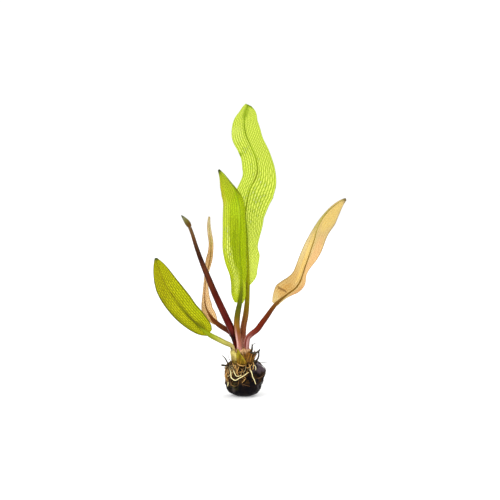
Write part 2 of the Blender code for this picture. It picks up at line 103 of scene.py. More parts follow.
class Graph:
    """A node tree under construction."""

    def __init__(self, tree: NodeTree) -> None:
        """Starts on an empty tree."""
        self.tree = tree
        self.tree.nodes.clear()

    def node(self, kind: str, settings: dict | None = None, values: dict | None = None) -> Node:
        """Adds one node.

        Args:
            kind: The node's type name.
            settings: Its properties, with "stops" for the stops of a colour ramp.
            values: What each input socket gets, by name or place: a number, colour, socket or Num.

        Returns:
            The node.
        """
        made = self.tree.nodes.new(kind)
        for key, value in (settings or {}).items():
            if key == "stops":
                self._set_stops(made.color_ramp, value)
            else:
                setattr(made, key, value)
        for key, value in (values or {}).items():
            self._feed(made.inputs[key], value)
        return made

    def _feed(self, socket: NodeSocket, value: object) -> None:
        """Links or sets one input socket.

        Args:
            socket: The input socket.
            value: What it gets: a number, colour, socket or Num.
        """
        if isinstance(value, Num):
            value = value.socket
        if isinstance(value, NodeSocket):
            self.tree.links.new(value, socket)
        else:
            socket.default_value = value

    @staticmethod
    def _set_stops(ramp: ColorRamp, stops: Sequence[tuple[float, Tint]]) -> None:
        """Gives a colour ramp its stops.

        Args:
            ramp: The ramp.
            stops: The place and colour of each stop, in order.
        """
        while len(ramp.elements) > 1:
            ramp.elements.remove(ramp.elements[-1])
        ramp.elements[0].position, ramp.elements[0].color = stops[0]
        for position, colour in stops[1:]:
            ramp.elements.new(position).color = colour


class Num:
    """A number on a node tree. Python's operators on it add Math nodes."""

    def __init__(self, graph: Graph, socket: NodeSocket) -> None:
        """Wraps an output socket of the graph."""
        self.graph = graph
        self.socket = socket

    def _math(self, operation: str, first: object, second: object = 0.0) -> Num:
        """Adds one Math node."""
        node = self.graph.node("ShaderNodeMath", {"operation": operation}, {0: first, 1: second})
        return Num(self.graph, node.outputs[0])

    def __add__(self, other: Num | float) -> Num:
        """The sum."""
        return self._math("ADD", self, other)

    __radd__ = __add__

    def __sub__(self, other: Num | float) -> Num:
        """The difference."""
        return self._math("SUBTRACT", self, other)

    def __rsub__(self, other: Num | float) -> Num:
        """The difference, the other way round."""
        return self._math("SUBTRACT", other, self)

    def __mul__(self, other: Num | float) -> Num:
        """The product."""
        return self._math("MULTIPLY", self, other)

    __rmul__ = __mul__

    def __abs__(self) -> Num:
        """The size without its sign."""
        return self._math("ABSOLUTE", self)

    def larger(self, other: Num | float) -> Num:
        """The larger of the two."""
        return self._math("MAXIMUM", self, other)

    def fold(self) -> Num:
        """How far it is from the nearest whole number."""
        return self._math("PINGPONG", self, 0.5)

    def step(self, low: float, high: float) -> Num:
        """A smooth step from 0 at low to 1 at high. low may be the larger.

        Args:
            low: Where the result is 0.
            high: Where the result is 1.

        Returns:
            The stepped value.
        """
        flip = low > high
        ends = {1: min(low, high), 2: max(low, high), 3: float(flip), 4: float(not flip)}
        settings = {"interpolation_type": "SMOOTHSTEP"}
        node = self.graph.node("ShaderNodeMapRange", settings, {0: self, **ends})
        return Num(self.graph, node.outputs[0])


class Paint(Graph):
    """The node tree of one finish."""

    def __init__(self, name: str) -> None:
        """Starts an empty material.

        Args:
            name: The material's name.
        """
        self.material = bpy.data.materials.new(name)
        self.material.use_nodes = True
        super().__init__(self.material.node_tree)

    def attribute(self, name: str) -> Num:
        """A number that the mesh carries."""
        return Num(self, self.node("ShaderNodeAttribute", {"attribute_name": name}).outputs["Fac"])

    def parts(self, name: str) -> list[Num]:
        """The three numbers of a vector that the mesh carries."""
        split = self.node("ShaderNodeSeparateXYZ", {}, {0: self.place(name)})
        return [Num(self, socket) for socket in split.outputs]

    def place(self, name: str = "") -> NodeSocket:
        """A vector that the mesh carries, or the object's own coordinates.

        Args:
            name: The attribute's name, or nothing for the object's coordinates.

        Returns:
            The vector's socket.
        """
        if name:
            return self.node("ShaderNodeAttribute", {"attribute_name": name}).outputs["Vector"]
        return self.node("ShaderNodeTexCoord").outputs["Object"]

    def noise(self, scale: float, stretch: Point = (1, 1, 1), detail: float = 3, at: str = "") -> Num:
        """A cloudy pattern from 0 to 1.

        Args:
            scale: How many clouds to a unit of the coordinates.
            stretch: The scale along each axis, on top of that.
            detail: How many finer layers it has.
            at: The mesh's vector attribute to read, or nothing for object coordinates.

        Returns:
            The pattern.
        """
        vector = self.node("ShaderNodeMapping", {}, {"Vector": self.place(at), "Scale": stretch}).outputs[0]
        values = {"Vector": vector, "Scale": scale, "Detail": detail, "Roughness": 0.55}
        return Num(self, self.node("ShaderNodeTexNoise", {}, values).outputs["Fac"])

    def mix(self, share: Num | float, first: object, second: object) -> NodeSocket:
        """A colour that goes from the first to the second as share goes from 0 to 1."""
        node = self.node("ShaderNodeMix", {"data_type": "RGBA"}, {0: share, 6: first, 7: second})
        return node.outputs[2]

    def ramp(self, value: Num, stops: Sequence[tuple[float, Tint]]) -> NodeSocket:
        """A colour that is read from stops."""
        return self.node("ShaderNodeValToRGB", {"stops": stops}, {0: value}).outputs[0]

    def bump(self, height: Num, depth: float) -> NodeSocket:
        """A normal for relief of that depth in millimetres where height goes from 0 to 1."""
        values = {"Height": height, "Distance": depth * MM, "Strength": 1.0}
        return self.node("ShaderNodeBump", {}, values).outputs[0]

    def coat(self, colour: object, roughness: object, shine: float, **more: object) -> NodeSocket:
        """A Principled shader."""
        values = {"Base Color": colour, "Roughness": roughness, "Specular IOR Level": shine, **more}
        return self.node("ShaderNodeBsdfPrincipled", {}, values).outputs[0]

    def blend(self, share: Num | float, first: object, second: object) -> NodeSocket:
        """A mix of two shaders."""
        return self.node("ShaderNodeMixShader", {}, {0: share, 1: first, 2: second}).outputs[0]

    def done(self, shader: NodeSocket) -> Material:
        """Links the shader to the output and gives the material back."""
        self.node("ShaderNodeOutputMaterial", {}, {"Surface": shader})
        return self.material


class Recipe(Graph):
    """A geometry nodes tree with named inputs, which turns one mesh into another."""

    def __init__(self, name: str, inputs: dict[str, str]) -> None:
        """Starts a tree.

        Args:
            name: The tree's name.
            inputs: The socket type of each input besides the mesh, by its name.
        """
        super().__init__(bpy.data.node_groups.new(name, "GeometryNodeTree"))
        face = self.tree.interface
        face.new_socket("Mesh", in_out="INPUT", socket_type="NodeSocketGeometry")
        face.new_socket("Mesh", in_out="OUTPUT", socket_type="NodeSocketGeometry")
        self.identifiers = {
            label: face.new_socket(label, in_out="INPUT", socket_type=kind).identifier
            for label, kind in inputs.items()
        }
        self.start = self.node("NodeGroupInput")

    def given(self, name: str, kind: str = "FLOAT") -> NodeSocket:
        """An attribute of the mesh."""
        return self.node("GeometryNodeInputNamedAttribute", {"data_type": kind}, {"Name": name}).outputs[0]

    def store(
        self, mesh: object, name: str, value: object, kind: str = "FLOAT", only: object = True
    ) -> object:
        """Stores a point attribute.

        Args:
            mesh: The mesh's socket.
            name: The attribute's name.
            value: What each point gets.
            kind: The attribute's type.
            only: Which points get it.

        Returns:
            The socket of the mesh that carries it.
        """
        settings = {"data_type": kind, "domain": "POINT"}
        values = {"Geometry": mesh, "Selection": only, "Name": name, "Value": value}
        return self.node("GeometryNodeStoreNamedAttribute", settings, values).outputs[0]

    def end(self, mesh: object) -> None:
        """Makes instances real, sets the finish and ends the tree.

        Args:
            mesh: The finished mesh's socket.
        """
        real = self.node("GeometryNodeRealizeInstances", {}, {0: mesh}).outputs[0]
        smooth = self.node("GeometryNodeSetShadeSmooth", {}, {"Geometry": real}).outputs[0]
        values = {"Geometry": smooth, "Material": self.start.outputs["Finish"]}
        dressed = self.node("GeometryNodeSetMaterial", {}, values).outputs[0]
        self.node("NodeGroupOutput", {}, {"Mesh": dressed})

    def cook(self, mesh: Mesh, values: dict) -> Mesh:
        """Runs the tree on a mesh.

        Args:
            mesh: What goes in.
            values: The value of each named input.

        Returns:
            What comes out, as a plain mesh.
        """
        carrier = bpy.data.objects.new(mesh.name, mesh)
        bpy.context.scene.collection.objects.link(carrier)
        modifier = carrier.modifiers.new(self.tree.name, "NODES")
        modifier.node_group = self.tree
        for label, value in values.items():
            modifier[self.identifiers[label]] = value
        made = plain_mesh(carrier)
        bpy.data.objects.remove(carrier, do_unlink=True)
        return made


def plain_mesh(piece: Object) -> Mesh:
    """The mesh of an object with its modifiers in it."""
    depsgraph = bpy.context.evaluated_depsgraph_get()
    return bpy.data.meshes.new_from_object(piece.evaluated_get(depsgraph), depsgraph=depsgraph)


def carry(mesh: Mesh, name: str, values: np.ndarray, domain: str = "POINT") -> None:
    """Stores numbers or vectors on a mesh.

    Args:
        mesh: The mesh.
        name: The attribute's name.
        values: One row for each point or face.
        domain: POINT or FACE.
    """
    vector = values.ndim == 2
    made = mesh.attributes.new(name, "FLOAT_VECTOR" if vector else "FLOAT", domain)
    made.data.foreach_set("vector" if vector else "value", values.astype(np.float32).ravel())


def wire(name: str, routes: Sequence[np.ndarray], shades: Sequence[float] = ()) -> Mesh:
    """A mesh of open lines.

    Args:
        name: The mesh's name.
        routes: For each line its points as rows of x, y, z and radius, in millimetres.
        shades: How dark each line is, from 0 to 1, or nothing where all are alike.

    Returns:
        The mesh, with each point's radius, how far along its line it lies, and its line's shade.
    """
    mesh = bpy.data.meshes.new(name)
    points = np.concatenate(routes)
    starts = np.cumsum([0] + [len(route) for route in routes])
    edges = [(k, k + 1) for a, b in zip(starts, starts[1:]) for k in range(a, b - 1)]
    mesh.from_pydata((points[:, :3] * MM).tolist(), edges, [])
    darkness = shades or [0.0] * len(routes)
    carry(mesh, "thick", points[:, 3] * MM)
    carry(mesh, "along", np.concatenate([np.linspace(0, 1, len(route)) for route in routes]))
    carry(mesh, "shade", np.concatenate([np.full(len(r), d) for r, d in zip(routes, darkness)]))
    return mesh


def joined(name: str, meshes: Sequence[Mesh]) -> Object:
    """Joins meshes, with their materials and attributes.

    Args:
        name: The new object's name.
        meshes: The meshes.

    Returns:
        The one object that holds them all.
    """
    parts = [bpy.data.objects.new(name, mesh) for mesh in meshes]
    for part in parts:
        bpy.context.scene.collection.objects.link(part)
    if len(parts) > 1:
        with bpy.context.temp_override(active_object=parts[0], selected_editable_objects=parts):
            bpy.ops.object.join()
    parts[0].name = name
    parts[0].data.name = name
    return parts[0]


def place(piece: Object, node: str | Sequence[str]) -> Object:
    """Lets a finished piece stand for its solids and ride with them.

    Args:
        piece: The piece, in place.
        node: The solid or solids that it stands for, or nothing.

    Returns:
        The same piece.
    """
    nodes = [node] if isinstance(node, str) else list(node)
    if nodes:
        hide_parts(*nodes)
    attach(piece, BODY)
    LOG.info("%s: %d faces", piece.name, len(piece.data.polygons))
    return piece


# Finishes. A slot names a material slot of the record.


class Area(NamedTuple):
    """A soft-edged oval on a blade: its middle and its reach, across from -1 to 1 and along from 0 to 1."""

    across: float
    along: float
    wide: float
    long: float

    def weight(self, across: float, along: float) -> float:
        """How much a place belongs to the area, from 0 to 1."""
        far = math.hypot((across - self.across) / self.wide, (along - self.along) / self.long)
        return past(1 - far, 0.0, 0.4)


@dataclass(frozen=True)
class Wash:
    """An area of a blade that has a colour of its own, and may be thicker and let less light through."""

    colour: Tint
    area: Area
    share: float = 0.8
    thicker: float = 0.0
    ragged: float = 1.0
    in_panes: bool = False

    def mask(self, across: Num, along: Num, ragged: Num) -> Num:
        """Where the wash lies.

        Args:
            across: The place across the blade.
            along: The place along it.
            ragged: Clouds round 0 that make its edge uneven.

        Returns:
            The mask.
        """
        x = (across - self.area.across) * (1 / self.area.wide)
        y = (along - self.area.along) * (1 / self.area.long)
        return (x * x + y * y + ragged * self.ragged).step(1.0, 0.2) * self.share


@dataclass(frozen=True)
class LaceFinish:
    """A thin blade of pale panes between its veins, which light shines through."""

    name: str
    tissue: Tint
    pane: Tint
    vein: Tint
    margin: Tint
    tip: Tint
    glow: Tint
    deep_glow: Tint
    filtered: Tint
    slot: str
    washes: tuple[Wash, ...] = ()
    pane_share: float = 0.6
    strand_share: float = 0.7
    cross_share: float = 0.3
    edge_share: float = 0.7
    speckle_share: float = 0.15
    speckle_scale: float = 1.3
    strand_reach: tuple[float, float] = (0.5, 0.9)
    edge_reach: tuple[float, float] = (0.93, 1.0)
    shine_through: float = 0.35
    tip_reach: tuple[float, float] = (0.965, 0.995)
    clear: float = 0.72
    dense: float = 0.4
    relief: float = 0.3
    shine: float = 0.12

    def make(self) -> Material:
        """Builds the finish.

        Returns:
            The material.
        """
        paint = Paint(self.name)
        vein = paint.attribute("vein")
        across, along, strip = paint.parts("sheet")
        clouds = paint.noise(0.11, (1, 1, 0.4), 4, "grain")
        bands = paint.noise(0.42, (1, 1, 0.07), 3, "grain").step(0.38, 0.66)
        speckle = paint.noise(self.speckle_scale, (1, 1, 0.5), 2, "grain").step(0.52, 0.68)
        strand = (1 - strip.fold() * 2).step(*self.strand_reach)
        cross = vein.step(0.6, 1.0)
        edge = abs(across).step(*self.edge_reach)
        end = (along + (clouds - 0.5) * 0.03).step(*self.tip_reach)
        colour = paint.mix(bands * 0.35, self.tissue, self.vein)
        panes = vein.step(0.85, 0.25)
        colour = paint.mix(panes * self.pane_share, colour, self.pane)
        openness = self.clear - (self.clear - self.dense) * vein.step(0.2, 0.9)
        for wash in self.washes:
            mask = wash.mask(across, along, (clouds - 0.5) * 0.9)
            if wash.in_panes:
                mask = mask * panes
            colour = paint.mix(mask, colour, wash.colour)
            if wash.thicker:
                openness = openness * (1 - mask * wash.thicker)
        colour = paint.mix(speckle * self.speckle_share, colour, self.vein)
        colour = paint.mix(cross * self.cross_share, colour, self.vein)
        colour = paint.mix(strand * self.strand_share, colour, self.vein)
        colour = paint.mix(edge * self.edge_share, colour, self.margin)
        colour = paint.mix(end, colour, self.tip)
        shade = (strand * 0.7).larger(cross * 0.4).larger(edge).larger(end).larger(bands * 0.4)
        openness = openness * (1 - (strand * 0.35).larger(edge * 0.5).larger(end * 0.8))
        relief = paint.bump(vein * 0.6 + bands * 0.4, self.relief)
        skin = paint.coat(colour, 0.4 + clouds * 0.15, self.shine, Normal=relief)
        bright = paint.node("ShaderNodeBsdfTranslucent", {}, {"Color": self.glow}).outputs[0]
        dull = paint.node("ShaderNodeBsdfTranslucent", {}, {"Color": self.deep_glow}).outputs[0]
        seen = paint.node("ShaderNodeBsdfTransparent", {}, {"Color": self.filtered}).outputs[0]
        body = paint.blend(self.shine_through, skin, paint.blend(shade, bright, dull))
        return paint.done(paint.blend(openness, body, seen))


@dataclass(frozen=True)
class StalkFinish:
    """A smooth, faintly ribbed stalk or midrib, which may carry a painted highlight near its foot. Its stops
    are places along it with red, green and blue.
    """

    name: str
    stops: tuple[tuple[float, int, int, int], ...]
    streak: Tint
    streak_share: float = 0.5
    roughness: float = 0.34
    # The painted highlight: its colour, how far up it reaches, how strong it is, and which side it lies on.
    painted_highlight: Tint = tint(238, 186, 176)
    highlight_end: float = 0.0
    highlight_share: float = 0.7
    highlight_side: tuple[float, float] = (2.0, 1.0)
    slot: str = ""
    relief: float = 0.25
    shine: float = 0.09

    def make(self) -> Material:
        """Builds the finish.

        Returns:
            The material.
        """
        paint = Paint(self.name)
        waver = paint.noise(0.25, (1, 1, 0.3), 2, "grain")
        streaks = paint.noise(0.75, (1, 1, 0.05), 3, "grain").step(0.47, 0.6)
        ribs = paint.noise(1.5, (1, 1, 0.03), 2, "grain")
        along = paint.attribute("along")
        stops = [(at, tint(red, green, blue)) for at, red, green, blue in self.stops]
        colour = paint.ramp(along + (waver - 0.5) * 0.05, stops)
        colour = paint.mix(streaks * self.streak_share, colour, self.streak)
        # Painted highlight: pale streaks near the foot, on one side of the stalk.
        if self.highlight_end:
            stripes = paint.noise(0.62, (1.3, 0.9, 0.03), 1, "grain").step(0.5, 0.58)
            fading = along.step(self.highlight_end, self.highlight_end * 0.4)
            left = paint.attribute("side").step(*self.highlight_side)
            colour = paint.mix(stripes * fading * left * self.highlight_share, colour, self.painted_highlight)
        roughness = self.roughness + streaks * 0.15
        return paint.done(paint.coat(colour, roughness, self.shine, Normal=paint.bump(ribs, self.relief)))


@dataclass(frozen=True)
class RootFinish:
    """Wet roots, stained in places, and no two of quite the same colour, with painted shade darkening each
    line towards its start.
    """

    name: str
    flesh: Tint
    stain: Tint
    dark_tone_and_shade: Tint
    stained: tuple[float, float] = (0.5, 0.68)
    slot: str = "root_brown"
    relief: float = 0.15
    shine: float = 0.2

    def make(self) -> Material:
        """Builds the finish.

        Returns:
            The material.
        """
        paint = Paint(self.name)
        along = paint.attribute("along")
        stain = paint.noise(0.35, (1, 1, 0.6), 4, "grain").step(*self.stained)
        rings = paint.noise(1.4, (0.4, 0.4, 1), 2, "grain")
        colour = paint.mix(stain, self.flesh, self.stain)
        # Each line's own darker tone, given per line.
        colour = paint.mix(paint.attribute("shade") * 0.8, colour, self.dark_tone_and_shade)
        # Painted shade: each line darkens towards its start, where it leaves the crown's foot or comes out of
        # the peat.
        colour = paint.mix(along.step(0.3, 0.14) * 0.85, colour, self.dark_tone_and_shade)
        colour = paint.mix(along.step(0.86, 1.0) * 0.5, colour, self.stain)
        roughness = 0.32 + stain * 0.3
        return paint.done(paint.coat(colour, roughness, self.shine, Normal=paint.bump(rings, self.relief)))


@dataclass(frozen=True)
class HuskFinish:
    """Old leaf bases with fibres running up them."""

    name: str
    foot: Tint
    top: Tint
    fibre: Tint
    slot: str
    fibre_share: float = 0.6
    relief: float = 0.4
    shine: float = 0.14

    def make(self) -> Material:
        """Builds the finish.

        Returns:
            The material.
        """
        paint = Paint(self.name)
        fibres = paint.noise(0.9, (1, 1, 0.12), 4, "grain").step(0.42, 0.6)
        fine = paint.noise(2.2, (1, 1, 0.1), 2, "grain")
        clouds = paint.noise(0.3, (1, 1, 1), 3, "grain")
        rise = (paint.attribute("along") + (clouds - 0.5) * 0.8).step(0.1, 0.9)
        colour = paint.mix(rise, self.foot, self.top)
        colour = paint.mix(fibres * self.fibre_share, colour, self.fibre)
        relief = paint.bump(fine * 0.5 + (1 - fibres) * 0.5, self.relief)
        return paint.done(paint.coat(colour, 0.42 + fibres * 0.25, self.shine, Normal=relief))


@dataclass(frozen=True)
class PeatFinish:
    """Wet peat, near black, with brown and olive in it, and a violet-grey painted sheen in patches, most on
    top of the right shoulder.
    """

    name: str
    black: Tint
    brown: Tint
    violet_sheen: Tint
    olive: Tint
    relief: float = 0.5
    shine: float = 0.05

    def make(self) -> Material:
        """Builds the finish.

        Returns:
            The material.
        """
        paint = Paint(self.name)
        tangled = paint.attribute("tangle")
        lumps = paint.noise(170, (1, 1, 1), 4)
        grains = paint.noise(900, (1, 1, 1), 3)
        brown = paint.noise(260, (1, 1, 1), 4).step(0.42, 0.6) * (tangled * 0.8 + 0.08)
        # Painted sheen: violet-grey patches that stand for the wet peat's reflection, strongest on top of the
        # right shoulder.
        violet_sheen = (paint.noise(150, (1, 1, 1), 3) + paint.attribute("lobe") * 0.32).step(0.6, 0.84)
        olive = paint.noise(330, (1, 1, 1), 3).step(0.4, 0.62) * paint.attribute("moss")
        colour = paint.mix(olive, self.black, self.olive)
        colour = paint.mix(brown, colour, self.brown)
        colour = paint.mix(violet_sheen, colour, self.violet_sheen)
        roughness = 0.34 + tangled * 0.25 + grains * 0.15
        relief = paint.bump(lumps * 0.6 + grains * 0.4, self.relief)
        return paint.done(paint.coat(colour, roughness, self.shine, Normal=relief))


@dataclass(frozen=True)
class FloorFinish:
    """The plain pale floor, which glows a little: painted light that lightens the shade round the plug."""

    name: str
    pale: Tint
    glow: float = 0.0

    def make(self) -> Material:
        """Builds the finish.

        Returns:
            The material.
        """
        paint = Paint(self.name)
        # Painted light: the floor's emission lightens the contact shadow under the plug.
        light = {"Emission Color": tint(255, 255, 255), "Emission Strength": self.glow}
        return paint.done(paint.coat(self.pale, 0.9, 0.0, **light))


LIME_LACE = LaceFinish(
    name="lime lace",
    tissue=tint(198, 218, 74),
    pane=tint(230, 243, 130),
    vein=tint(132, 154, 24),
    margin=tint(132, 150, 44),
    tip=tint(118, 146, 0),
    glow=tint(228, 240, 112),
    deep_glow=tint(146, 172, 22),
    filtered=tint(247, 252, 166),
    slot="leaf_lime",
    washes=(
        Wash(tint(132, 164, 4), Area(-0.05, 0.97, 0.42, 0.045), 0.8, 0.6),
        Wash(tint(146, 172, 14), Area(-0.05, 0.9, 0.12, 0.05), 0.6, 0.3),
        Wash(tint(118, 148, 10), Area(-0.95, 0.812, 0.3, 0.01), 0.9, 0.7),
        Wash(tint(214, 232, 84), Area(-0.85, 0.72, 0.3, 0.05)),
        Wash(tint(150, 176, 16), Area(0.2, 0.5, 0.3, 0.08), 0.5),
        Wash(tint(150, 172, 20), Area(-0.2, 0.36, 0.6, 0.08), 0.5),
        Wash(tint(236, 248, 156), Area(-0.6, 0.885, 0.5, 0.035)),
        Wash(tint(246, 252, 160), Area(0.55, 0.335, 0.55, 0.07), 0.85, in_panes=True),
        Wash(tint(244, 252, 150), Area(0.6, 0.56, 0.55, 0.17), 0.85, in_panes=True),
        Wash(tint(150, 174, 30), Area(0.5, 0.57, 0.5, 0.14), 0.3),
    ),
    pane_share=0.7,
    strand_share=0.85,
    cross_share=0.2,
    tip_reach=(0.985, 1.0),
    relief=0.2,
)
FRONT_LACE = LaceFinish(
    name="deep lime lace",
    tissue=tint(180, 194, 28),
    pane=tint(196, 210, 50),
    vein=tint(134, 150, 4),
    margin=tint(132, 126, 30),
    tip=tint(44, 46, 34),
    glow=tint(202, 216, 44),
    deep_glow=tint(154, 172, 4),
    filtered=tint(242, 248, 130),
    slot="leaf_lime",
    washes=(
        Wash(tint(216, 226, 90), Area(-0.86, 0.68, 0.34, 0.24)),
        Wash(tint(156, 164, 50), Area(-0.95, 0.35, 0.32, 0.07), 0.7, 0.4),
        Wash(tint(252, 255, 170), Area(-0.67, 0.58, 0.13, 0.12), 1.0, in_panes=True),
        Wash(tint(252, 255, 160), Area(-0.55, 0.48, 0.2, 0.1), 1.0, in_panes=True),
        Wash(tint(252, 255, 160), Area(-0.4, 0.425, 0.22, 0.06), 1.0, in_panes=True),
        Wash(tint(250, 252, 160), Area(-0.45, 0.37, 0.3, 0.06), 1.0, in_panes=True),
        Wash(tint(244, 248, 140), Area(-0.45, 0.325, 0.3, 0.03), 0.9, in_panes=True),
        Wash(tint(140, 154, 8), Area(-0.5, 0.45, 0.3, 0.13), 0.3),
        Wash(tint(148, 168, 2), Area(-0.28, 0.54, 0.2, 0.16), 0.8, 0.4),
        Wash(tint(190, 214, 14), Area(0.4, 0.62, 0.5, 0.3)),
        Wash(tint(124, 138, 4), Area(0.1, 0.31, 0.5, 0.08), 0.7, 0.4),
        Wash(tint(206, 232, 50), Area(-0.1, 0.765, 0.7, 0.07), 0.7),
        Wash(tint(204, 178, 56), Area(-1.0, 0.88, 0.36, 0.12), 0.75),
        Wash(tint(176, 178, 56), Area(-0.4, 0.93, 0.4, 0.05), 0.5),
        Wash(tint(86, 98, 18), Area(0.9, 0.9, 0.9, 0.09), 0.8, 0.7),
    ),
    pane_share=0.45,
    strand_share=0.55,
    cross_share=0.1,
    speckle_share=0.04,
    clear=0.52,
    dense=0.36,
)
OLIVE_LACE = LaceFinish(
    name="olive lace",
    tissue=tint(172, 176, 6),
    pane=tint(206, 206, 26),
    vein=tint(122, 122, 0),
    margin=tint(76, 86, 12),
    tip=tint(52, 72, 36),
    glow=tint(202, 206, 14),
    deep_glow=tint(140, 136, 0),
    filtered=tint(236, 236, 100),
    slot="leaf_olive",
    washes=(
        Wash(tint(150, 132, 4), Area(-0.5, 0.84, 0.6, 0.2), 0.7),
        Wash(tint(196, 212, 8), Area(0.62, 0.55, 0.5, 0.3), 0.75),
        Wash(tint(210, 204, 24), Area(-0.35, 0.56, 0.26, 0.12), 0.7),
        Wash(tint(150, 146, 0), Area(-0.75, 0.6, 0.25, 0.2), 0.5),
        Wash(tint(112, 126, 0), Area(0.0, 0.5, 0.14, 0.3), 0.75, 0.5),
        Wash(tint(96, 104, 0), Area(0.1, 0.38, 0.4, 0.06), 0.7, 0.5),
        Wash(tint(96, 104, 4), Area(-0.95, 0.46, 0.3, 0.26), 0.7, 0.4),
        Wash(tint(120, 104, 10), Area(-1.0, 0.69, 0.35, 0.06), 0.7, 0.4),
        Wash(tint(176, 206, 12), Area(0.85, 0.5, 0.3, 0.08), 0.7),
    ),
    pane_share=0.65,
    strand_share=0.75,
    speckle_share=0.6,
    speckle_scale=0.62,
    edge_share=0.9,
    edge_reach=(0.87, 0.96),
    clear=0.5,
    dense=0.28,
)
AMBER_LACE = LaceFinish(
    name="amber lace",
    tissue=tint(202, 180, 126),
    pane=tint(210, 190, 140),
    vein=tint(184, 156, 104),
    margin=tint(118, 100, 62),
    tip=tint(84, 76, 44),
    glow=tint(218, 196, 142),
    deep_glow=tint(200, 174, 118),
    filtered=tint(247, 235, 198),
    slot="leaf_amber",
    washes=(
        Wash(tint(230, 168, 126), Area(0.6, 0.56, 0.62, 0.22), 0.85),
        Wash(tint(214, 142, 94), Area(0.8, 0.43, 0.55, 0.07), 0.8, 0.25),
        Wash(tint(192, 142, 60), Area(-0.75, 0.44, 0.5, 0.14), 0.75, 0.25),
        Wash(tint(208, 154, 66), Area(-0.25, 0.39, 0.5, 0.07), 0.85, 0.4),
        Wash(tint(212, 166, 92), Area(0.0, 0.48, 0.9, 0.09), 0.6, 0.2),
        Wash(tint(232, 188, 66), Area(-0.25, 0.56, 0.26, 0.12)),
        Wash(tint(240, 214, 106), Area(-0.3, 0.68, 0.22, 0.1), 0.7),
        Wash(tint(224, 216, 168), Area(-0.9, 0.69, 0.36, 0.12)),
        Wash(tint(168, 180, 70), Area(-0.65, 0.83, 0.7, 0.1), 0.9, 0.15),
        Wash(tint(240, 214, 110), Area(0.45, 0.87, 0.6, 0.13)),
        Wash(tint(146, 132, 74), Area(-1.05, 0.66, 0.2, 0.34), 0.6, 0.4),
        *(
            Wash(tint(116, 64, 6), Area(*fold, 0.007), 0.9, 0.6, 0.2)
            for fold in (
                (-0.76, 0.369, 0.15), (-0.6, 0.373, 0.16), (-0.44, 0.379, 0.16), (-0.28, 0.385, 0.16),
            )
        ),
    ),
    pane_share=0.2,
    strand_share=0.28,
    cross_share=0.06,
    speckle_share=0.03,
    edge_share=0.85,
    edge_reach=(0.9, 1.0),
    clear=0.6,
    dense=0.56,
    relief=0.08,
)
CURLED_LACE = LaceFinish(
    name="beige lace",
    tissue=tint(240, 206, 152),
    pane=tint(246, 218, 168),
    vein=tint(190, 144, 80),
    margin=tint(132, 94, 46),
    tip=tint(204, 188, 136),
    glow=tint(244, 208, 156),
    deep_glow=tint(184, 140, 70),
    filtered=tint(250, 236, 206),
    slot="leaf_amber",
    washes=(
        Wash(tint(246, 208, 162), Area(0.5, 0.4, 0.8, 0.16), 0.85),
        Wash(tint(240, 188, 146), Area(-0.5, 0.67, 0.8, 0.05), 0.7),
        Wash(tint(196, 150, 66), Area(0.0, 0.78, 0.8, 0.07), 0.6),
        Wash(tint(184, 140, 66), Area(0.0, 0.71, 1.4, 0.08), 0.7, 0.3),
        Wash(tint(164, 116, 52), Area(-0.7, 0.33, 0.5, 0.1), 0.7, 0.3),
        Wash(tint(246, 255, 218), Area(0.0, 0.96, 1.6, 0.15), 1.0),
        Wash(tint(172, 182, 86), Area(0.0, 0.83, 1.4, 0.05), 0.7),
    ),
    pane_share=0.35,
    strand_share=0.4,
    cross_share=0.1,
    speckle_share=0.08,
    edge_share=0.8,
    edge_reach=(0.78, 0.98),
    clear=0.62,
    relief=0.15,
)
LIME_STALK = StalkFinish(
    name="lime leaf stalk",
    stops=(
        (0.0, 254, 206, 172), (0.03, 246, 180, 146), (0.06, 156, 86, 58), (0.08, 132, 70, 40),
        (0.12, 142, 84, 44), (0.16, 134, 100, 14), (0.2, 134, 118, 8), (0.25, 136, 136, 0),
        (0.3, 156, 162, 0), (0.4, 150, 166, 4), (0.45, 124, 144, 0), (0.55, 128, 152, 0),
        (0.62, 150, 172, 24), (0.72, 138, 164, 16), (0.8, 146, 174, 22), (0.86, 124, 152, 0),
        (1.0, 138, 170, 0),
    ),
    streak=tint(80, 34, 10),
    streak_share=0.4,
    painted_highlight=tint(214, 150, 136),
    highlight_end=0.08,
    highlight_share=0.5,
)
FRONT_STALK = StalkFinish(
    name="front leaf stalk",
    stops=(
        (0.0, 226, 164, 154), (0.04, 178, 110, 94), (0.08, 156, 92, 66), (0.12, 132, 76, 26),
        (0.16, 146, 102, 24), (0.2, 98, 88, 0), (0.26, 72, 86, 0), (0.31, 92, 106, 0),
        (0.4, 126, 146, 0), (0.5, 134, 158, 0), (0.64, 140, 164, 0), (0.71, 156, 182, 18),
        (0.76, 166, 190, 34), (0.81, 142, 174, 6), (0.86, 142, 168, 4), (1.0, 166, 186, 52),
    ),
    streak=tint(84, 48, 10),
    streak_share=0.35,
    painted_highlight=tint(240, 190, 184),
    highlight_end=0.17,
    highlight_share=0.8,
    highlight_side=(0.0, -0.45),
)
OLIVE_STALK = StalkFinish(
    name="olive leaf stalk",
    stops=(
        (0.0, 240, 224, 140), (0.07, 232, 208, 144), (0.12, 200, 184, 108), (0.16, 180, 172, 84),
        (0.2, 196, 190, 96), (0.26, 176, 184, 60), (0.31, 144, 158, 10), (0.36, 132, 148, 4),
        (0.41, 106, 114, 0), (0.48, 92, 92, 0), (0.56, 108, 114, 0), (0.66, 138, 134, 8),
        (0.71, 112, 104, 0), (0.78, 150, 144, 10), (0.9, 142, 136, 0), (1.0, 120, 122, 0),
    ),
    streak=tint(98, 92, 16),
    streak_share=0.6,
)
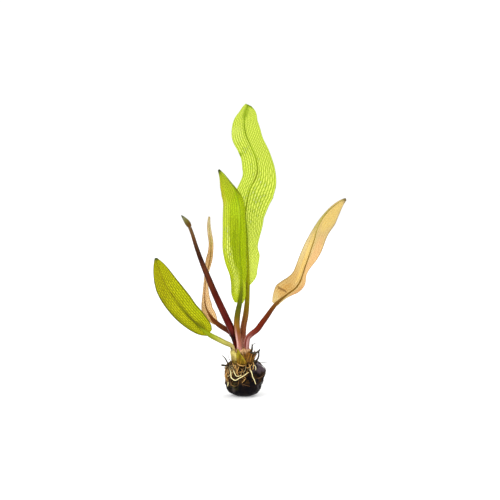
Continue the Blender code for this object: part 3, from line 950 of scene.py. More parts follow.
AMBER_STALK = StalkFinish(
    name="amber leaf stalk",
    stops=(
        (0.0, 168, 116, 90), (0.05, 120, 52, 44), (0.11, 130, 56, 42), (0.15, 108, 30, 6),
        (0.19, 104, 26, 0), (0.27, 104, 48, 0), (0.36, 116, 82, 8), (0.44, 132, 96, 24),
        (0.52, 136, 102, 30), (0.6, 144, 112, 34), (0.7, 152, 122, 46), (0.78, 168, 156, 66),
        (0.9, 156, 138, 52), (1.0, 150, 144, 60),
    ),
    streak=tint(64, 12, 4),
    streak_share=0.45,
    painted_highlight=tint(232, 176, 170),
    highlight_end=0.13,
    highlight_share=0.6,
)
CURLED_STALK = StalkFinish(
    name="curled leaf stalk",
    stops=(
        (0.0, 84, 16, 12), (0.14, 106, 34, 16), (0.19, 84, 32, 0), (0.25, 108, 52, 0),
        (0.31, 108, 50, 0), (0.4, 146, 96, 36), (0.5, 176, 130, 84), (0.7, 174, 134, 64),
        (0.82, 182, 160, 84), (1.0, 222, 206, 156),
    ),
    streak=tint(58, 16, 4),
    streak_share=0.4,
    painted_highlight=tint(214, 150, 136),
    highlight_end=0.1,
    highlight_share=0.4,
)
MAROON_STALK = StalkFinish(
    name="maroon flower stalk",
    stops=(
        (0.0, 92, 20, 8), (0.04, 84, 12, 4), (0.1, 36, 0, 0), (0.17, 98, 26, 18), (0.25, 82, 6, 2),
        (0.32, 96, 26, 16), (0.39, 90, 18, 0), (0.46, 76, 14, 0), (0.54, 88, 34, 6), (0.62, 88, 38, 12),
        (0.68, 94, 46, 20), (0.75, 54, 20, 8), (0.83, 72, 42, 16), (0.9, 90, 54, 26),
        (1.0, 118, 88, 52),
    ),
    streak=tint(26, 0, 0),
    slot="stalk_maroon",
)
BUD_SKIN = StalkFinish(
    name="bud skin",
    stops=(
        (0.0, 100, 64, 20), (0.25, 90, 66, 18), (0.5, 104, 96, 42), (0.75, 112, 112, 78),
        (1.0, 56, 64, 48),
    ),
    streak=tint(66, 68, 40),
    streak_share=0.45,
    slot="bud",
)
CREAM_ROOT = RootFinish(
    "cream root", tint(246, 234, 172), tint(226, 192, 116), tint(70, 44, 16), (0.56, 0.74), "root_cream"
)
GOLD_ROOT = RootFinish("golden root", tint(196, 152, 84), tint(124, 80, 26), tint(36, 20, 4), (0.44, 0.6))
BROWN_ROOT = RootFinish("brown root", tint(84, 54, 22), tint(50, 30, 12), tint(16, 8, 6))
HUSK_STRIP = RootFinish(
    "husk strip", tint(168, 116, 38), tint(124, 76, 10), tint(52, 28, 4), (0.44, 0.6), "husk_brown"
)
DARK_FIBRE = RootFinish("dark fibre", tint(46, 38, 20), tint(84, 78, 48), tint(24, 18, 10), slot="husk_brown")
GREEN_HUSK = HuskFinish(
    "green husk", tint(142, 102, 18), tint(190, 176, 30), tint(98, 76, 0), "husk_green", 0.85
)
CREAM_HUSK = HuskFinish(
    "cream husk", tint(110, 82, 10), tint(232, 216, 124), tint(130, 108, 12), "husk_cream", 0.7
)
BROWN_HUSK = HuskFinish(
    "brown husk", tint(122, 74, 4), tint(150, 96, 22), tint(50, 24, 0), "husk_brown", 0.75
)
CROWN_FLESH = HuskFinish("crown flesh", tint(44, 24, 6), tint(226, 180, 128), tint(118, 76, 34), "crown")
WET_PEAT = PeatFinish("wet peat", tint(7, 5, 9), tint(64, 42, 14), tint(72, 60, 66), tint(62, 60, 22))
PALE_FLOOR = FloorFinish("pale floor", tint(222, 222, 222), 0.25)


# Leaves


class Rib(NamedTuple):
    """One station of a leaf: its place, its stalk or midrib radius, and how far each margin stands off."""

    x: float
    y: float
    z: float
    radius: float
    left: float = 0
    right: float = 0
    left_back: float = 0
    right_back: float = 0


@dataclass
class Spine:
    """A leaf's line from its cut foot to its tip, read at any distance along it."""

    ribs: Sequence[Rib]
    fineness: int = 24
    window: float = 1.5
    rows: np.ndarray = field(init=False)
    reach: np.ndarray = field(init=False)
    blade_start: float = field(init=False)

    def __post_init__(self) -> None:
        """Draws the smooth line through the ribs."""
        given = np.array(self.ribs, float)
        last = len(given) - 1
        places = np.linspace(0, last, last * self.fineness + 1)
        self.rows = np.array([between(given, at) for at in places])
        self.rows[:, 4:6] = np.maximum(self.rows[:, 4:6], 0)
        steps = np.linalg.norm(np.diff(self.rows[:, :3], axis=0), axis=1)
        self.reach = np.concatenate([[0], np.cumsum(steps)])
        first = next((k for k, rib in enumerate(self.ribs) if rib.left > 0), last)
        self.blade_start = float(self.reach[first * self.fineness])

    @property
    def length(self) -> float:
        """How long the line is."""
        return float(self.reach[-1])

    def read(self, distance: np.ndarray) -> np.ndarray:
        """The stations at distances from the foot.

        Args:
            distance: The distances.

        Returns:
            One row of rib values for each.
        """
        return np.stack([np.interp(distance, self.reach, column) for column in self.rows.T], axis=1)

    def axes(self, distance: np.ndarray) -> tuple[np.ndarray, np.ndarray]:
        """The directions across and out of the blade, towards the viewer, at distances from the foot.

        Args:
            distance: The distances.

        Returns:
            The unit vectors across, and those that face the viewer.
        """
        growth = self.read(distance + self.window)[:, :3] - self.read(distance - self.window)[:, :3]
        growth /= np.linalg.norm(growth, axis=1, keepdims=True)
        facing = TOWARDS_VIEWER - growth * (growth @ TOWARDS_VIEWER)[:, None]
        facing /= np.linalg.norm(facing, axis=1, keepdims=True)
        return np.cross(growth, facing), facing


@dataclass
class Flutes:
    """The waves of a blade's margins, at full height where a half is at least full_width wide."""

    height: float = 0.8
    length: float = 26.0
    shift: float = 0.0
    apart: float = 0.9
    full_width: float = 8.0


@dataclass
class LaceLeaf:
    """A leaf with its stalk, its midrib and a blade of panes between veins, some of them pierced."""

    name: str
    ribs: Sequence[Rib]
    lace: LaceFinish
    stalk: StalkFinish
    columns: tuple[int, int]
    cell_length: float = 3.0
    longer: float = 0.45
    pane: float = 0.72
    hole: float = 0.6
    slit: float = 0.16
    pierced: Sequence[Area] = ()
    holes: float = 0.3
    margin: float = 0.1
    flutes: Flutes = field(default_factory=Flutes)
    midrib_share: float = 0.6
    seed: int = 1
    vein_thickness: float = 0.5
    rim_share: float = 0.4
    root_depth: float = 5.0
    flare: float = 0.08
    flare_reach: float = 5.0
    thins_over: float = 14.0
    arching: float = 0.03
    tip_gap: float = 0.3
    unevenness: tuple[float, float] = (0.28, 0.1)
    pane_width: float = 0.84
    narrowest_pane: float = 0.4
    narrowest_hole: float = 0.9

    def build(self, lace: Recipe, stem: Recipe) -> Object:
        """Makes the leaf.

        Args:
            lace: Sets the panes and holes into the blade and gives it its thickness.
            stem: Turns the stalk's line into a tube.

        Returns:
            The leaf.
        """
        spine = Spine(self.ribs)
        values = {
            "Thickness": self.vein_thickness * MM,
            "Rim share": self.rim_share,
            "Finish": self.lace.make(),
        }
        blade = lace.cook(self.sheet(spine), values)
        stalk = stem.cook(self.stem_line(spine), {"Sides": 16, "Finish": self.stalk.make()})
        return place(joined(self.name, [blade, stalk]), self.name)

    def stem_line(self, spine: Spine) -> Mesh:
        """The line of the stalk and midrib.

        Args:
            spine: The leaf's line.

        Returns:
            The line, which starts inside the crown, flares there, and thins in the blade.
        """
        distance = np.linspace(0, spine.length, max(8, int(spine.length / 1.6)))
        rows = spine.read(distance)
        into = np.clip((distance - spine.blade_start) / self.thins_over, 0, 1)
        radius = rows[:, 3] * (1 - (1 - self.midrib_share) * into)
        radius *= 1 - 0.6 * np.clip((distance / spine.length - 0.92) / 0.08, 0, 1)
        radius *= 1 + self.flare * np.exp(-distance / self.flare_reach)
        points = np.column_stack([rows[:, :3], radius])
        growth = points[1, :3] - points[0, :3]
        growth /= np.linalg.norm(growth)
        depths = (self.root_depth, self.root_depth / 2)
        foot = [(*(points[0, :3] - growth * deep), radius[0]) for deep in depths]
        return wire(self.name, [np.concatenate([np.array(foot), points])])

    def surface(self, spine: Spine, distance: np.ndarray, across: np.ndarray) -> np.ndarray:
        """Points of the blade.

        Args:
            spine: The leaf's line.
            distance: How far along it each point lies.
            across: How far out it lies, from -1 at the left margin to 1 at the right.

        Returns:
            The points.
        """
        rows = spine.read(distance)
        sideways, facing = spine.axes(distance)
        side = np.where(across < 0, Side.LEFT.value, Side.RIGHT.value)
        width = np.where(across < 0, rows[:, 4], rows[:, 5])
        back = np.where(across < 0, rows[:, 6], rows[:, 7])
        share = np.abs(across)
        reach = np.maximum(np.hypot(width, back), 1e-6)
        out = np.stack([side * width, -back], axis=1) / reach[:, None]
        out[width < 1e-3] = 0
        front = np.stack([-out[:, 1], out[:, 0]], axis=1) * side[:, None]
        turn = 2 * math.pi * distance / self.flutes.length + self.flutes.shift + side * self.flutes.apart
        full = np.clip(width / self.flutes.full_width, 0, 1)
        wave = self.flutes.height * full * share**2 * np.sin(turn)
        lift = self.arching * reach * np.sin(math.pi * share) + wave
        flat = out * (reach * share)[:, None] + front * lift[:, None]
        return rows[:, :3] + sideways * flat[:, :1] + facing * flat[:, 1:]

    def lines(self) -> np.ndarray:
        """Where the veins that run along the blade lie across it.

        Returns:
            Their places from -1 at the left margin to 1 at the right.
        """
        left, right = self.columns
        inner = 1 - self.margin
        outwards = [-inner * k / left for k in range(left, 0, -1)]
        return np.array([-1.0, *outwards, 0.0, *[inner * k / right for k in range(1, right + 1)], 1.0])

    def sheet(self, spine: Spine) -> Mesh:
        """The plain blade: a brickwork of cells between the veins.

        Args:
            spine: The leaf's line.

        Returns:
            A mesh that carries what the lace recipe and the finish read.
        """
        rng = np.random.default_rng(self.seed)
        lines = self.lines()
        steps = 2 * max(2, round((spine.length - spine.blade_start) / self.cell_length))
        evenly = np.linspace(0, 1, steps + 1)
        places = evenly - self.longer * np.sin(2 * math.pi * evenly) / (2 * math.pi)
        levels = spine.blade_start + (spine.length - self.tip_gap - spine.blade_start) * places
        distance = np.tile(levels, (len(lines), 1))
        across = np.tile(lines[:, None], (1, steps + 1))
        inner = (len(lines) - 2, steps - 1)
        jog, sway = self.unevenness
        distance[1:-1, 1:-1] += rng.uniform(-jog, jog, inner) * np.diff(levels)[1:]
        across[1:-1, 1:-1] += rng.uniform(-sway, sway, inner) / max(self.columns)
        strip = np.tile(np.arange(len(lines), dtype=float)[:, None], (1, steps + 1))
        distance, across, strip = distance.ravel(), across.ravel(), strip.ravel()
        points = self.surface(spine, distance, across)
        rows = spine.read(distance)
        grain_x = across * np.where(across < 0, rows[:, 4], rows[:, 5])
        sheet = np.column_stack([across, distance / spine.length, strip])
        grain = np.column_stack([grain_x, np.zeros(len(points)), distance])
        vein = np.where(np.abs(across) > 0.999, 0.0, 1.0)
        mesh = bpy.data.meshes.new(self.name)
        faces = self.cells(len(lines), len(levels))
        mesh.from_pydata((points * MM).tolist(), [], faces)
        middles = np.array([sheet[face].mean(axis=0) for face in faces])
        carry(mesh, "sheet", sheet)
        carry(mesh, "grain", grain)
        carry(mesh, "vein", vein)
        carry(mesh, "sheet_middle", middles, "FACE")
        carry(mesh, "grain_middle", np.array([grain[face].mean(axis=0) for face in faces]), "FACE")
        carry(mesh, "sideways", spine.axes(middles[:, 1] * spine.length)[0], "FACE")
        cuts = np.array([self.cut(spine, middle, lines, rng) for middle in middles])
        for column, label in enumerate(("inset", "squeeze", "open")):
            carry(mesh, label, cuts[:, column], "FACE")
        return mesh

    @staticmethod
    def cells(line_count: int, level_count: int) -> list[list[int]]:
        """The cells between the veins, each row of bricks shifted half a cell from the next.

        Args:
            line_count: How many long veins there are.
            level_count: How many points each of them has.

        Returns:
            The corners of each cell.
        """
        faces: list[list[int]] = []
        for column in range(line_count - 1):
            low, high = column * level_count, (column + 1) * level_count
            solid = column in (0, line_count - 2)
            k = 0
            while k < level_count - 1:
                single = solid or (k == 0 and column % 2 == 1) or k + 2 > level_count - 1
                span = 1 if single else 2
                up = [low + k + i for i in range(span, -1, -1)]
                faces.append([high + k + i for i in range(span + 1)] + up)
                k += span
        return faces

    def cut(
        self, spine: Spine, middle: np.ndarray, lines: np.ndarray, rng: np.random.Generator
    ) -> tuple[float, float, float]:
        """What is cut into a cell.

        Args:
            spine: The leaf's line.
            middle: The cell's middle, across and along the blade, and in strips.
            lines: Where the long veins lie across the blade.
            rng: Makes the cells differ.

        Returns:
            The pane's share of the cell, how narrow it is, and 1 where it is a hole.
        """
        across, along, strip = middle
        chance, size = rng.random(), rng.uniform(0.85, 1.12)
        column = int(strip)
        if column in (0, len(lines) - 2):
            return 0.0, 1.0, 0.0
        rib = Rib(*spine.read(np.array([along * spine.length]))[0])
        width = (rib.left if across < 0 else rib.right) * (lines[column + 1] - lines[column])
        if width < self.narrowest_pane:
            return 0.0, 1.0, 0.0
        weight = max((area.weight(across, along) for area in self.pierced), default=0.0)
        if chance < weight * self.holes and width > self.narrowest_hole:
            return self.hole * size * (0.7 + 0.3 * weight), self.slit, 1.0
        return self.pane * size, self.pane_width, 0.0


def lace_recipe() -> Recipe:
    """Sets a pane or a hole into each cell of a blade, rounds it, and gives the sheet its thickness.

    Returns:
        The recipe, with the inputs Thickness, Rim share and Finish.
    """
    lace = Recipe(
        "lace",
        {"Thickness": "NodeSocketFloat", "Rim share": "NodeSocketFloat", "Finish": "NodeSocketMaterial"},
    )
    compare = {"operation": "GREATER_THAN"}
    size, squeeze = lace.given("inset"), lace.given("squeeze")
    framed = lace.node("FunctionNodeCompare", compare, {0: size, 1: 0.02}).outputs[0]
    plain = lace.start.outputs["Mesh"]
    values = {"Mesh": plain, "Selection": framed, "Offset Scale": 0.0, "Individual": True}
    inset = lace.node("GeometryNodeExtrudeMesh", {"mode": "FACES"}, values)
    top = inset.outputs["Top"]
    values = {"Geometry": inset.outputs["Mesh"], "Selection": top, "Scale": size}
    pane = lace.node("GeometryNodeScaleElements", {"domain": "FACE"}, values).outputs[0]
    settings = {"domain": "FACE", "scale_mode": "SINGLE_AXIS"}
    sideways = lace.given("sideways", "FLOAT_VECTOR")
    values = {"Geometry": pane, "Selection": top, "Scale": squeeze, "Axis": sideways}
    pane = lace.node("GeometryNodeScaleElements", settings, values).outputs[0]
    pane = lace.store(pane, "vein", 0.0, only=top)
    for name in ("sheet", "grain"):
        middle = lace.given(f"{name}_middle", "FLOAT_VECTOR")
        values = {0: size, 4: middle, 5: lace.given(name, "FLOAT_VECTOR")}
        pulled = lace.node("ShaderNodeMix", {"data_type": "VECTOR"}, values).outputs[1]
        pane = lace.store(pane, name, pulled, "FLOAT_VECTOR", top)
    hole = lace.node("FunctionNodeCompare", compare, {0: lace.given("open"), 1: 0.5}).outputs[0]
    hole = lace.node("FunctionNodeBooleanMath", {"operation": "AND"}, {0: hole, 1: top}).outputs[0]
    values = {"Geometry": pane, "Selection": hole}
    pierced = lace.node("GeometryNodeDeleteGeometry", {"domain": "FACE", "mode": "ALL"}, values).outputs[0]
    fine = lace.node("GeometryNodeSubdivisionSurface", {}, {"Mesh": pierced, "Level": 1}).outputs[0]
    normal = lace.node("GeometryNodeInputNormal").outputs[0]
    sheet = lace.store(fine, "outward", normal, "FLOAT_VECTOR")
    share = Num(lace, lace.start.outputs["Rim share"])
    vein = Num(lace, lace.given("vein"))
    thick = Num(lace, lace.start.outputs["Thickness"]) * (share + (1 - share) * vein)
    outward = lace.given("outward", "FLOAT_VECTOR")
    scaling = {"operation": "SCALE"}
    down = lace.node("ShaderNodeVectorMath", scaling, {0: outward, 3: thick * -0.5}).outputs[0]
    up = lace.node("ShaderNodeVectorMath", scaling, {0: outward, 3: thick}).outputs[0]
    back = lace.node("GeometryNodeSetPosition", {}, {"Geometry": sheet, "Offset": down}).outputs[0]
    values = {"Mesh": back, "Offset Scale": 0.0, "Individual": False}
    wall = lace.node("GeometryNodeExtrudeMesh", {"mode": "FACES"}, values)
    values = {"Geometry": wall.outputs["Mesh"], "Selection": wall.outputs["Top"], "Offset": up}
    front = lace.node("GeometryNodeSetPosition", {}, values).outputs[0]
    turned = lace.node("GeometryNodeFlipFaces", {}, {"Mesh": back}).outputs[0]
    both = lace.node("GeometryNodeJoinGeometry")
    lace.tree.links.new(turned, both.inputs[0])
    lace.tree.links.new(front, both.inputs[0])
    values = {"Geometry": both.outputs[0], "Distance": 0.000002}
    lace.end(lace.node("GeometryNodeMergeByDistance", {}, values).outputs[0])
    return lace


def stem_recipe() -> Recipe:
    """Turns lines into round tubes of varying thickness.

    Returns:
        The recipe, with the inputs Sides and Finish.
    """
    stem = Recipe("stem", {"Sides": "NodeSocketInt", "Finish": "NodeSocketMaterial"})
    line = stem.node("GeometryNodeMeshToCurve", {}, {"Mesh": stem.start.outputs["Mesh"]}).outputs[0]
    run = stem.node("GeometryNodeSplineParameter").outputs["Length"]
    line = stem.store(line, "run", run)
    values = {"Resolution": stem.start.outputs["Sides"], "Radius": 1.0}
    ring = stem.node("GeometryNodeCurvePrimitiveCircle", {}, values)
    spot = stem.node("GeometryNodeInputPosition").outputs[0]
    profile = stem.store(ring.outputs[0], "ring", spot, "FLOAT_VECTOR")
    radius = stem.given("thick")
    values = {"Curve": line, "Profile Curve": profile, "Scale": radius, "Fill Caps": True}
    tube = stem.node("GeometryNodeCurveToMesh", {}, values).outputs[0]
    spread = {0: stem.given("ring", "FLOAT_VECTOR"), 3: radius}
    around = stem.node("ShaderNodeVectorMath", {"operation": "SCALE"}, spread)
    onward = stem.node("ShaderNodeCombineXYZ", {}, {2: stem.given("run")})
    values = {0: around.outputs[0], 1: onward.outputs[0]}
    both = stem.node("ShaderNodeVectorMath", {"operation": "ADD"}, values)
    values = {0: both.outputs[0], 3: 1 / MM}
    grain = stem.node("ShaderNodeVectorMath", {"operation": "SCALE"}, values).outputs[0]
    tube = stem.store(tube, "grain", grain, "FLOAT_VECTOR")
    normal = stem.node("GeometryNodeInputNormal").outputs[0]
    # Which way each point faces along X, for the stalks' painted highlight.
    side = stem.node("ShaderNodeSeparateXYZ", {}, {0: normal}).outputs[0]
    stem.end(stem.store(tube, "side", side))
    return stem


TALL_RIBS = [
    Rib(-0.3, 2.6, 39.75, 2.7), Rib(-0.7, 2.5, 47.5, 2.7), Rib(-0.1, 2.9, 58.5, 2.6),
    Rib(1.8, 3.6, 68.7, 2.5), Rib(3.0, 4.4, 79.7, 2.15), Rib(3.5, 5.4, 89.0, 1.9),
    Rib(3.6, 5.7, 93.0, 1.9, 0.8, 0.9), Rib(3.7, 6.1, 97.5, 1.8, 3.4, 4.6),
    Rib(3.9, 6.5, 102.0, 1.6, 6.0, 7.1), Rib(4.1, 7.0, 107.8, 1.5, 8.4, 7.9, 1.5, 1.0),
    Rib(3.5, 8.0, 118.8, 1.3, 12.0, 10.5, 1.0, 2.0), Rib(3.2, 8.5, 125.4, 1.2, 13.4, 8.9, -0.5, 3.2),
    Rib(3.0, 9.0, 130.7, 1.2, 14.4, 9.5, -1.5, 4.0), Rib(2.4, 10.0, 143.5, 1.2, 14.9, 14.0, -2.5, 2.0),
    Rib(1.5, 11.0, 153.7, 1.1, 13.4, 16.7, 0.5, -1.5),
    Rib(2.8, 11.4, 164.7, 1.1, 13.2, 18.9, 3.0, -2.5),
    Rib(5.5, 11.2, 176.2, 1.1, 10.2, 21.2, 4.5, -1.0),
    Rib(10.0, 10.6, 185.1, 1.0, 11.9, 19.1, 4.0, 2.0),
    Rib(11.8, 10.6, 192.8, 1.0, 12.7, 15.2, 2.5, 4.0),
    Rib(10.0, 12.0, 203.8, 1.0, 12.3, 13.3, 2.0, 3.5),
    Rib(6.0, 14.0, 213.2, 0.9, 11.6, 12.3, -3.0, 1.0),
    Rib(2.1, 15.6, 222.5, 0.9, 12.6, 13.2, -4.0, -1.5),
    Rib(0.6, 16.0, 232.7, 0.8, 9.8, 11.9, -2.0, -1.5), Rib(1.7, 15.0, 241.2, 0.7, 5.3, 9.9, 0.0, 0.5),
    Rib(3.1, 14.0, 245.7, 0.6, 3.6, 7.4, 0.0, 0.5), Rib(4.2, 13.4, 248.3, 0.5, 2.4, 2.4),
]
FRONT_RIBS = [
    Rib(-3.4, -3.7, 39.75, 2.1), Rib(-3.8, -4.4, 46.0, 2.3), Rib(-5.0, -5.8, 54.5, 2.5),
    Rib(-5.7, -6.2, 63.0, 2.6), Rib(-5.1, -6.6, 70.6, 2.5), Rib(-4.0, -6.9, 76.6, 2.3),
    Rib(-3.2, -7.2, 80.4, 2.1, 4.4, 2.4), Rib(-2.3, -7.4, 87.0, 1.8, 8.0, 4.4, 1.0, 0.5),
    Rib(-1.7, -7.8, 96.4, 1.5, 9.1, 3.6, 2.0, 1.5), Rib(-2.1, -8.4, 105.8, 1.3, 10.0, 4.8, 3.0, 2.0),
    Rib(-3.0, -9.2, 116.0, 1.2, 12.6, 5.8, 2.0, 2.0), Rib(-3.4, -10.0, 126.2, 1.2, 14.2, 6.2, 0.0, 2.0),
    Rib(-3.6, -10.6, 137.3, 1.1, 14.0, 5.9, -1.5, 2.5),
    Rib(-3.4, -11.0, 149.2, 1.1, 14.1, 5.3, -0.5, 3.0),
    Rib(-3.8, -11.4, 160.2, 1.0, 13.6, 5.4, 2.0, 3.5),
    Rib(-5.5, -11.9, 169.6, 1.0, 12.2, 4.2, 3.0, 4.5),
    Rib(-8.0, -12.5, 177.2, 0.9, 11.6, 1.8, 2.0, 5.5),
    Rib(-11.9, -13.1, 183.3, 0.8, 9.2, 1.0, 1.0, 5.0),
    Rib(-16.0, -13.6, 188.6, 0.7, 5.2, 0.9, 0.5, 3.5),
    Rib(-19.0, -13.9, 191.8, 0.6, 2.4, 0.8, 0.3, 1.5), Rib(-20.9, -14.0, 193.9, 0.5, 0.8, 0.6),
]
LOW_RIBS = [
    Rib(-8.0, -1.2, 36.0, 1.4), Rib(-8.9, -3.2, 40.4, 1.8), Rib(-10.2, -5.6, 43.5, 1.9),
    Rib(-12.4, -8.0, 45.3, 2.1), Rib(-15.6, -9.8, 46.9, 2.2), Rib(-20.8, -11.6, 49.9, 2.3),
    Rib(-26.6, -13.4, 53.1, 2.2), Rib(-29.5, -14.4, 55.1, 2.0, 2.2, 4.6),
    Rib(-32.6, -15.6, 57.8, 1.7, 4.8, 7.8, -0.5, 0.5),
    Rib(-36.9, -17.0, 61.7, 1.4, 6.8, 9.6, -1.0, 1.0),
    Rib(-42.2, -18.6, 67.1, 1.3, 8.4, 10.8, -1.5, 1.5),
    Rib(-48.2, -20.0, 73.5, 1.2, 9.5, 11.2, -1.5, 1.5),
    Rib(-53.7, -21.0, 80.6, 1.1, 10.3, 11.8, -1.0, 1.5),
    Rib(-58.8, -21.5, 87.9, 1.0, 10.5, 11.5, -1.0, 1.0),
    Rib(-63.5, -21.4, 95.1, 0.9, 9.8, 10.7, -1.0, 1.0),
    Rib(-66.9, -20.8, 101.5, 0.9, 8.2, 9.6, -0.5, 0.5),
    Rib(-69.6, -20.0, 108.0, 0.8, 6.1, 7.8, -0.5, 0.5), Rib(-71.6, -19.0, 113.7, 0.7, 4.0, 5.3),
    Rib(-72.9, -18.0, 117.6, 0.6, 2.1, 2.8), Rib(-73.6, -17.2, 120.0, 0.5, 0.9, 0.9),
]
AMBER_RIBS = [
    Rib(2.6, -1.6, 39.75, 2.2), Rib(2.9, -2.6, 45.9, 2.3), Rib(3.9, -3.8, 50.6, 2.3),
    Rib(7.3, -4.4, 54.0, 2.4), Rib(11.7, -5.0, 57.6, 2.5), Rib(15.6, -5.6, 63.1, 2.4),
    Rib(20.0, -6.2, 69.2, 2.2), Rib(24.0, -6.6, 75.1, 1.9), Rib(27.0, -6.9, 79.0, 1.7, 3.7, 1.9),
    Rib(30.4, -7.0, 82.4, 1.4, 8.0, 2.2, -0.5, 0.5), Rib(34.9, -7.0, 86.1, 1.2, 12.0, 2.2, -2.0, 1.5),
    Rib(39.5, -7.0, 89.6, 1.1, 12.5, 3.2, -3.0, 1.5), Rib(44.2, -7.0, 93.3, 1.0, 12.1, 4.7, -1.5, 1.0),
    Rib(47.8, -7.0, 98.7, 1.0, 10.5, 5.0, 0.0, -0.5), Rib(50.2, -6.8, 105.0, 0.9, 8.3, 3.1, 1.5, -2.5),
    Rib(52.3, -6.4, 111.7, 0.9, 7.6, 4.3, 2.0, -2.5), Rib(54.7, -5.8, 118.4, 0.8, 7.6, 7.0, 2.0, -1.0),
    Rib(57.1, -5.0, 125.6, 0.8, 6.9, 8.8, 2.5, 0.0), Rib(59.5, -4.0, 132.7, 0.8, 5.7, 9.3, 3.5, 0.5),
    Rib(61.6, -3.0, 140.3, 0.7, 3.9, 10.1, 5.0, 0.5), Rib(64.3, -1.8, 147.4, 0.7, 1.9, 11.3, 6.0, 0.5),
    Rib(68.9, -0.2, 154.7, 0.7, 0.9, 11.7, 5.5, 0.5), Rib(75.0, 1.6, 161.0, 0.6, 0.9, 9.0, 4.0, 0.3),
    Rib(81.6, 3.2, 165.8, 0.6, 0.9, 5.0, 2.0, 0.2), Rib(87.2, 4.4, 168.5, 0.5, 0.7, 1.2),
]
CURLED_RIBS = [
    Rib(-4.6, 3.4, 39.75, 1.7), Rib(-6.2, 5.8, 47.0, 1.8), Rib(-9.2, 8.0, 50.9, 2.1),
    Rib(-13.4, 10.0, 54.4, 2.3), Rib(-19.1, 12.0, 57.6, 2.3), Rib(-23.6, 13.3, 60.8, 2.1, 2.4, 2.2),
    Rib(-26.7, 14.2, 63.6, 1.8, 3.4, 4.4), Rib(-29.5, 15.0, 67.8, 1.2, 4.6, 5.2, -1.0, 1.0),
    Rib(-31.7, 16.0, 71.6, 1.0, 4.6, 5.0, -2.0, 2.0), Rib(-33.1, 16.5, 76.2, 0.9, 3.4, 5.4, -3.5, 3.0),
    Rib(-33.8, 17.0, 82.0, 0.9, 1.9, 4.4, -4.5, 4.0), Rib(-33.6, 17.0, 88.8, 0.8, 1.4, 3.0, -5.0, 5.0),
    Rib(-33.0, 17.0, 95.6, 0.8, 1.4, 2.0, -5.0, 5.5), Rib(-31.8, 17.0, 102.4, 0.8, 1.9, 1.6, -4.5, 5.5),
    Rib(-30.4, 17.0, 108.6, 0.7, 2.8, 1.6, -4.0, 5.0),
    Rib(-29.0, 17.0, 115.4, 0.7, 3.6, 2.0, -3.5, 4.5),
    Rib(-28.2, 16.6, 122.3, 0.7, 2.5, 2.0, -3.5, 4.5),
    Rib(-28.1, 16.2, 129.9, 0.7, 1.8, 1.9, -3.0, 4.0),
    Rib(-29.1, 15.6, 137.6, 0.6, 1.8, 1.6, -2.5, 3.0),
    Rib(-29.9, 15.0, 145.3, 0.6, 1.4, 1.4, -1.5, 1.8), Rib(-29.5, 14.4, 152.8, 0.5, 0.8, 0.8),
]
FLOWER_RIBS = [
    Rib(-6.4, -0.5, 39.75, 1.8), Rib(-6.8, -0.8, 44.0, 2.0), Rib(-8.2, -1.7, 50.0, 2.5),
    Rib(-10.4, -3.3, 57.6, 3.0), Rib(-13.6, -4.4, 64.8, 3.1), Rib(-18.5, -5.4, 75.6, 3.0),
    Rib(-24.3, -6.2, 88.5, 2.8), Rib(-30.0, -6.8, 102.4, 2.5), Rib(-35.5, -7.2, 116.0, 2.1),
    Rib(-39.8, -7.4, 128.2, 1.8), Rib(-43.0, -7.4, 138.6, 1.55), Rib(-45.3, -7.4, 144.8, 1.5),
]
BUD_RIBS = [
    Rib(-45.1, -7.4, 145.0, 1.5), Rib(-45.8, -7.4, 146.2, 2.0), Rib(-46.6, -7.4, 147.7, 2.3),
    Rib(-48.0, -7.4, 149.8, 2.2), Rib(-50.0, -7.4, 152.3, 1.5), Rib(-51.8, -7.4, 154.4, 0.7),
    Rib(-52.4, -7.4, 155.1, 0.2),
]


def tubes(
    stem: Recipe, name: str, line: Mesh, sides: int, finish: StalkFinish | RootFinish
) -> Object:
    """A piece of round tubes along lines."""
    return joined(name, [stem.cook(line, {"Sides": sides, "Finish": finish.make()})])


@dataclass
class FlowerStalk:
    """The thick dark red flower stalk and the pointed bud on its tip."""

    ribs: Sequence[Rib]
    bud_ribs: Sequence[Rib]

    def build(self, stem: Recipe) -> list[Object]:
        """Makes the stalk and the bud.

        Args:
            stem: Turns a line into a tube.

        Returns:
            The two pieces.
        """
        made = []
        plans = (
            ("flower_stalk", self.ribs, MAROON_STALK, 1.5),
            ("flower_bud", self.bud_ribs, BUD_SKIN, 0.5),
        )
        for name, ribs, finish, step in plans:
            spine = Spine(ribs)
            distance = np.linspace(0, spine.length, max(8, int(spine.length / step)))
            line = wire(name, [spine.read(distance)[:, :4]])
            made.append(place(tubes(stem, name, line, 20, finish), name))
        return made


# Plug, crown and roots


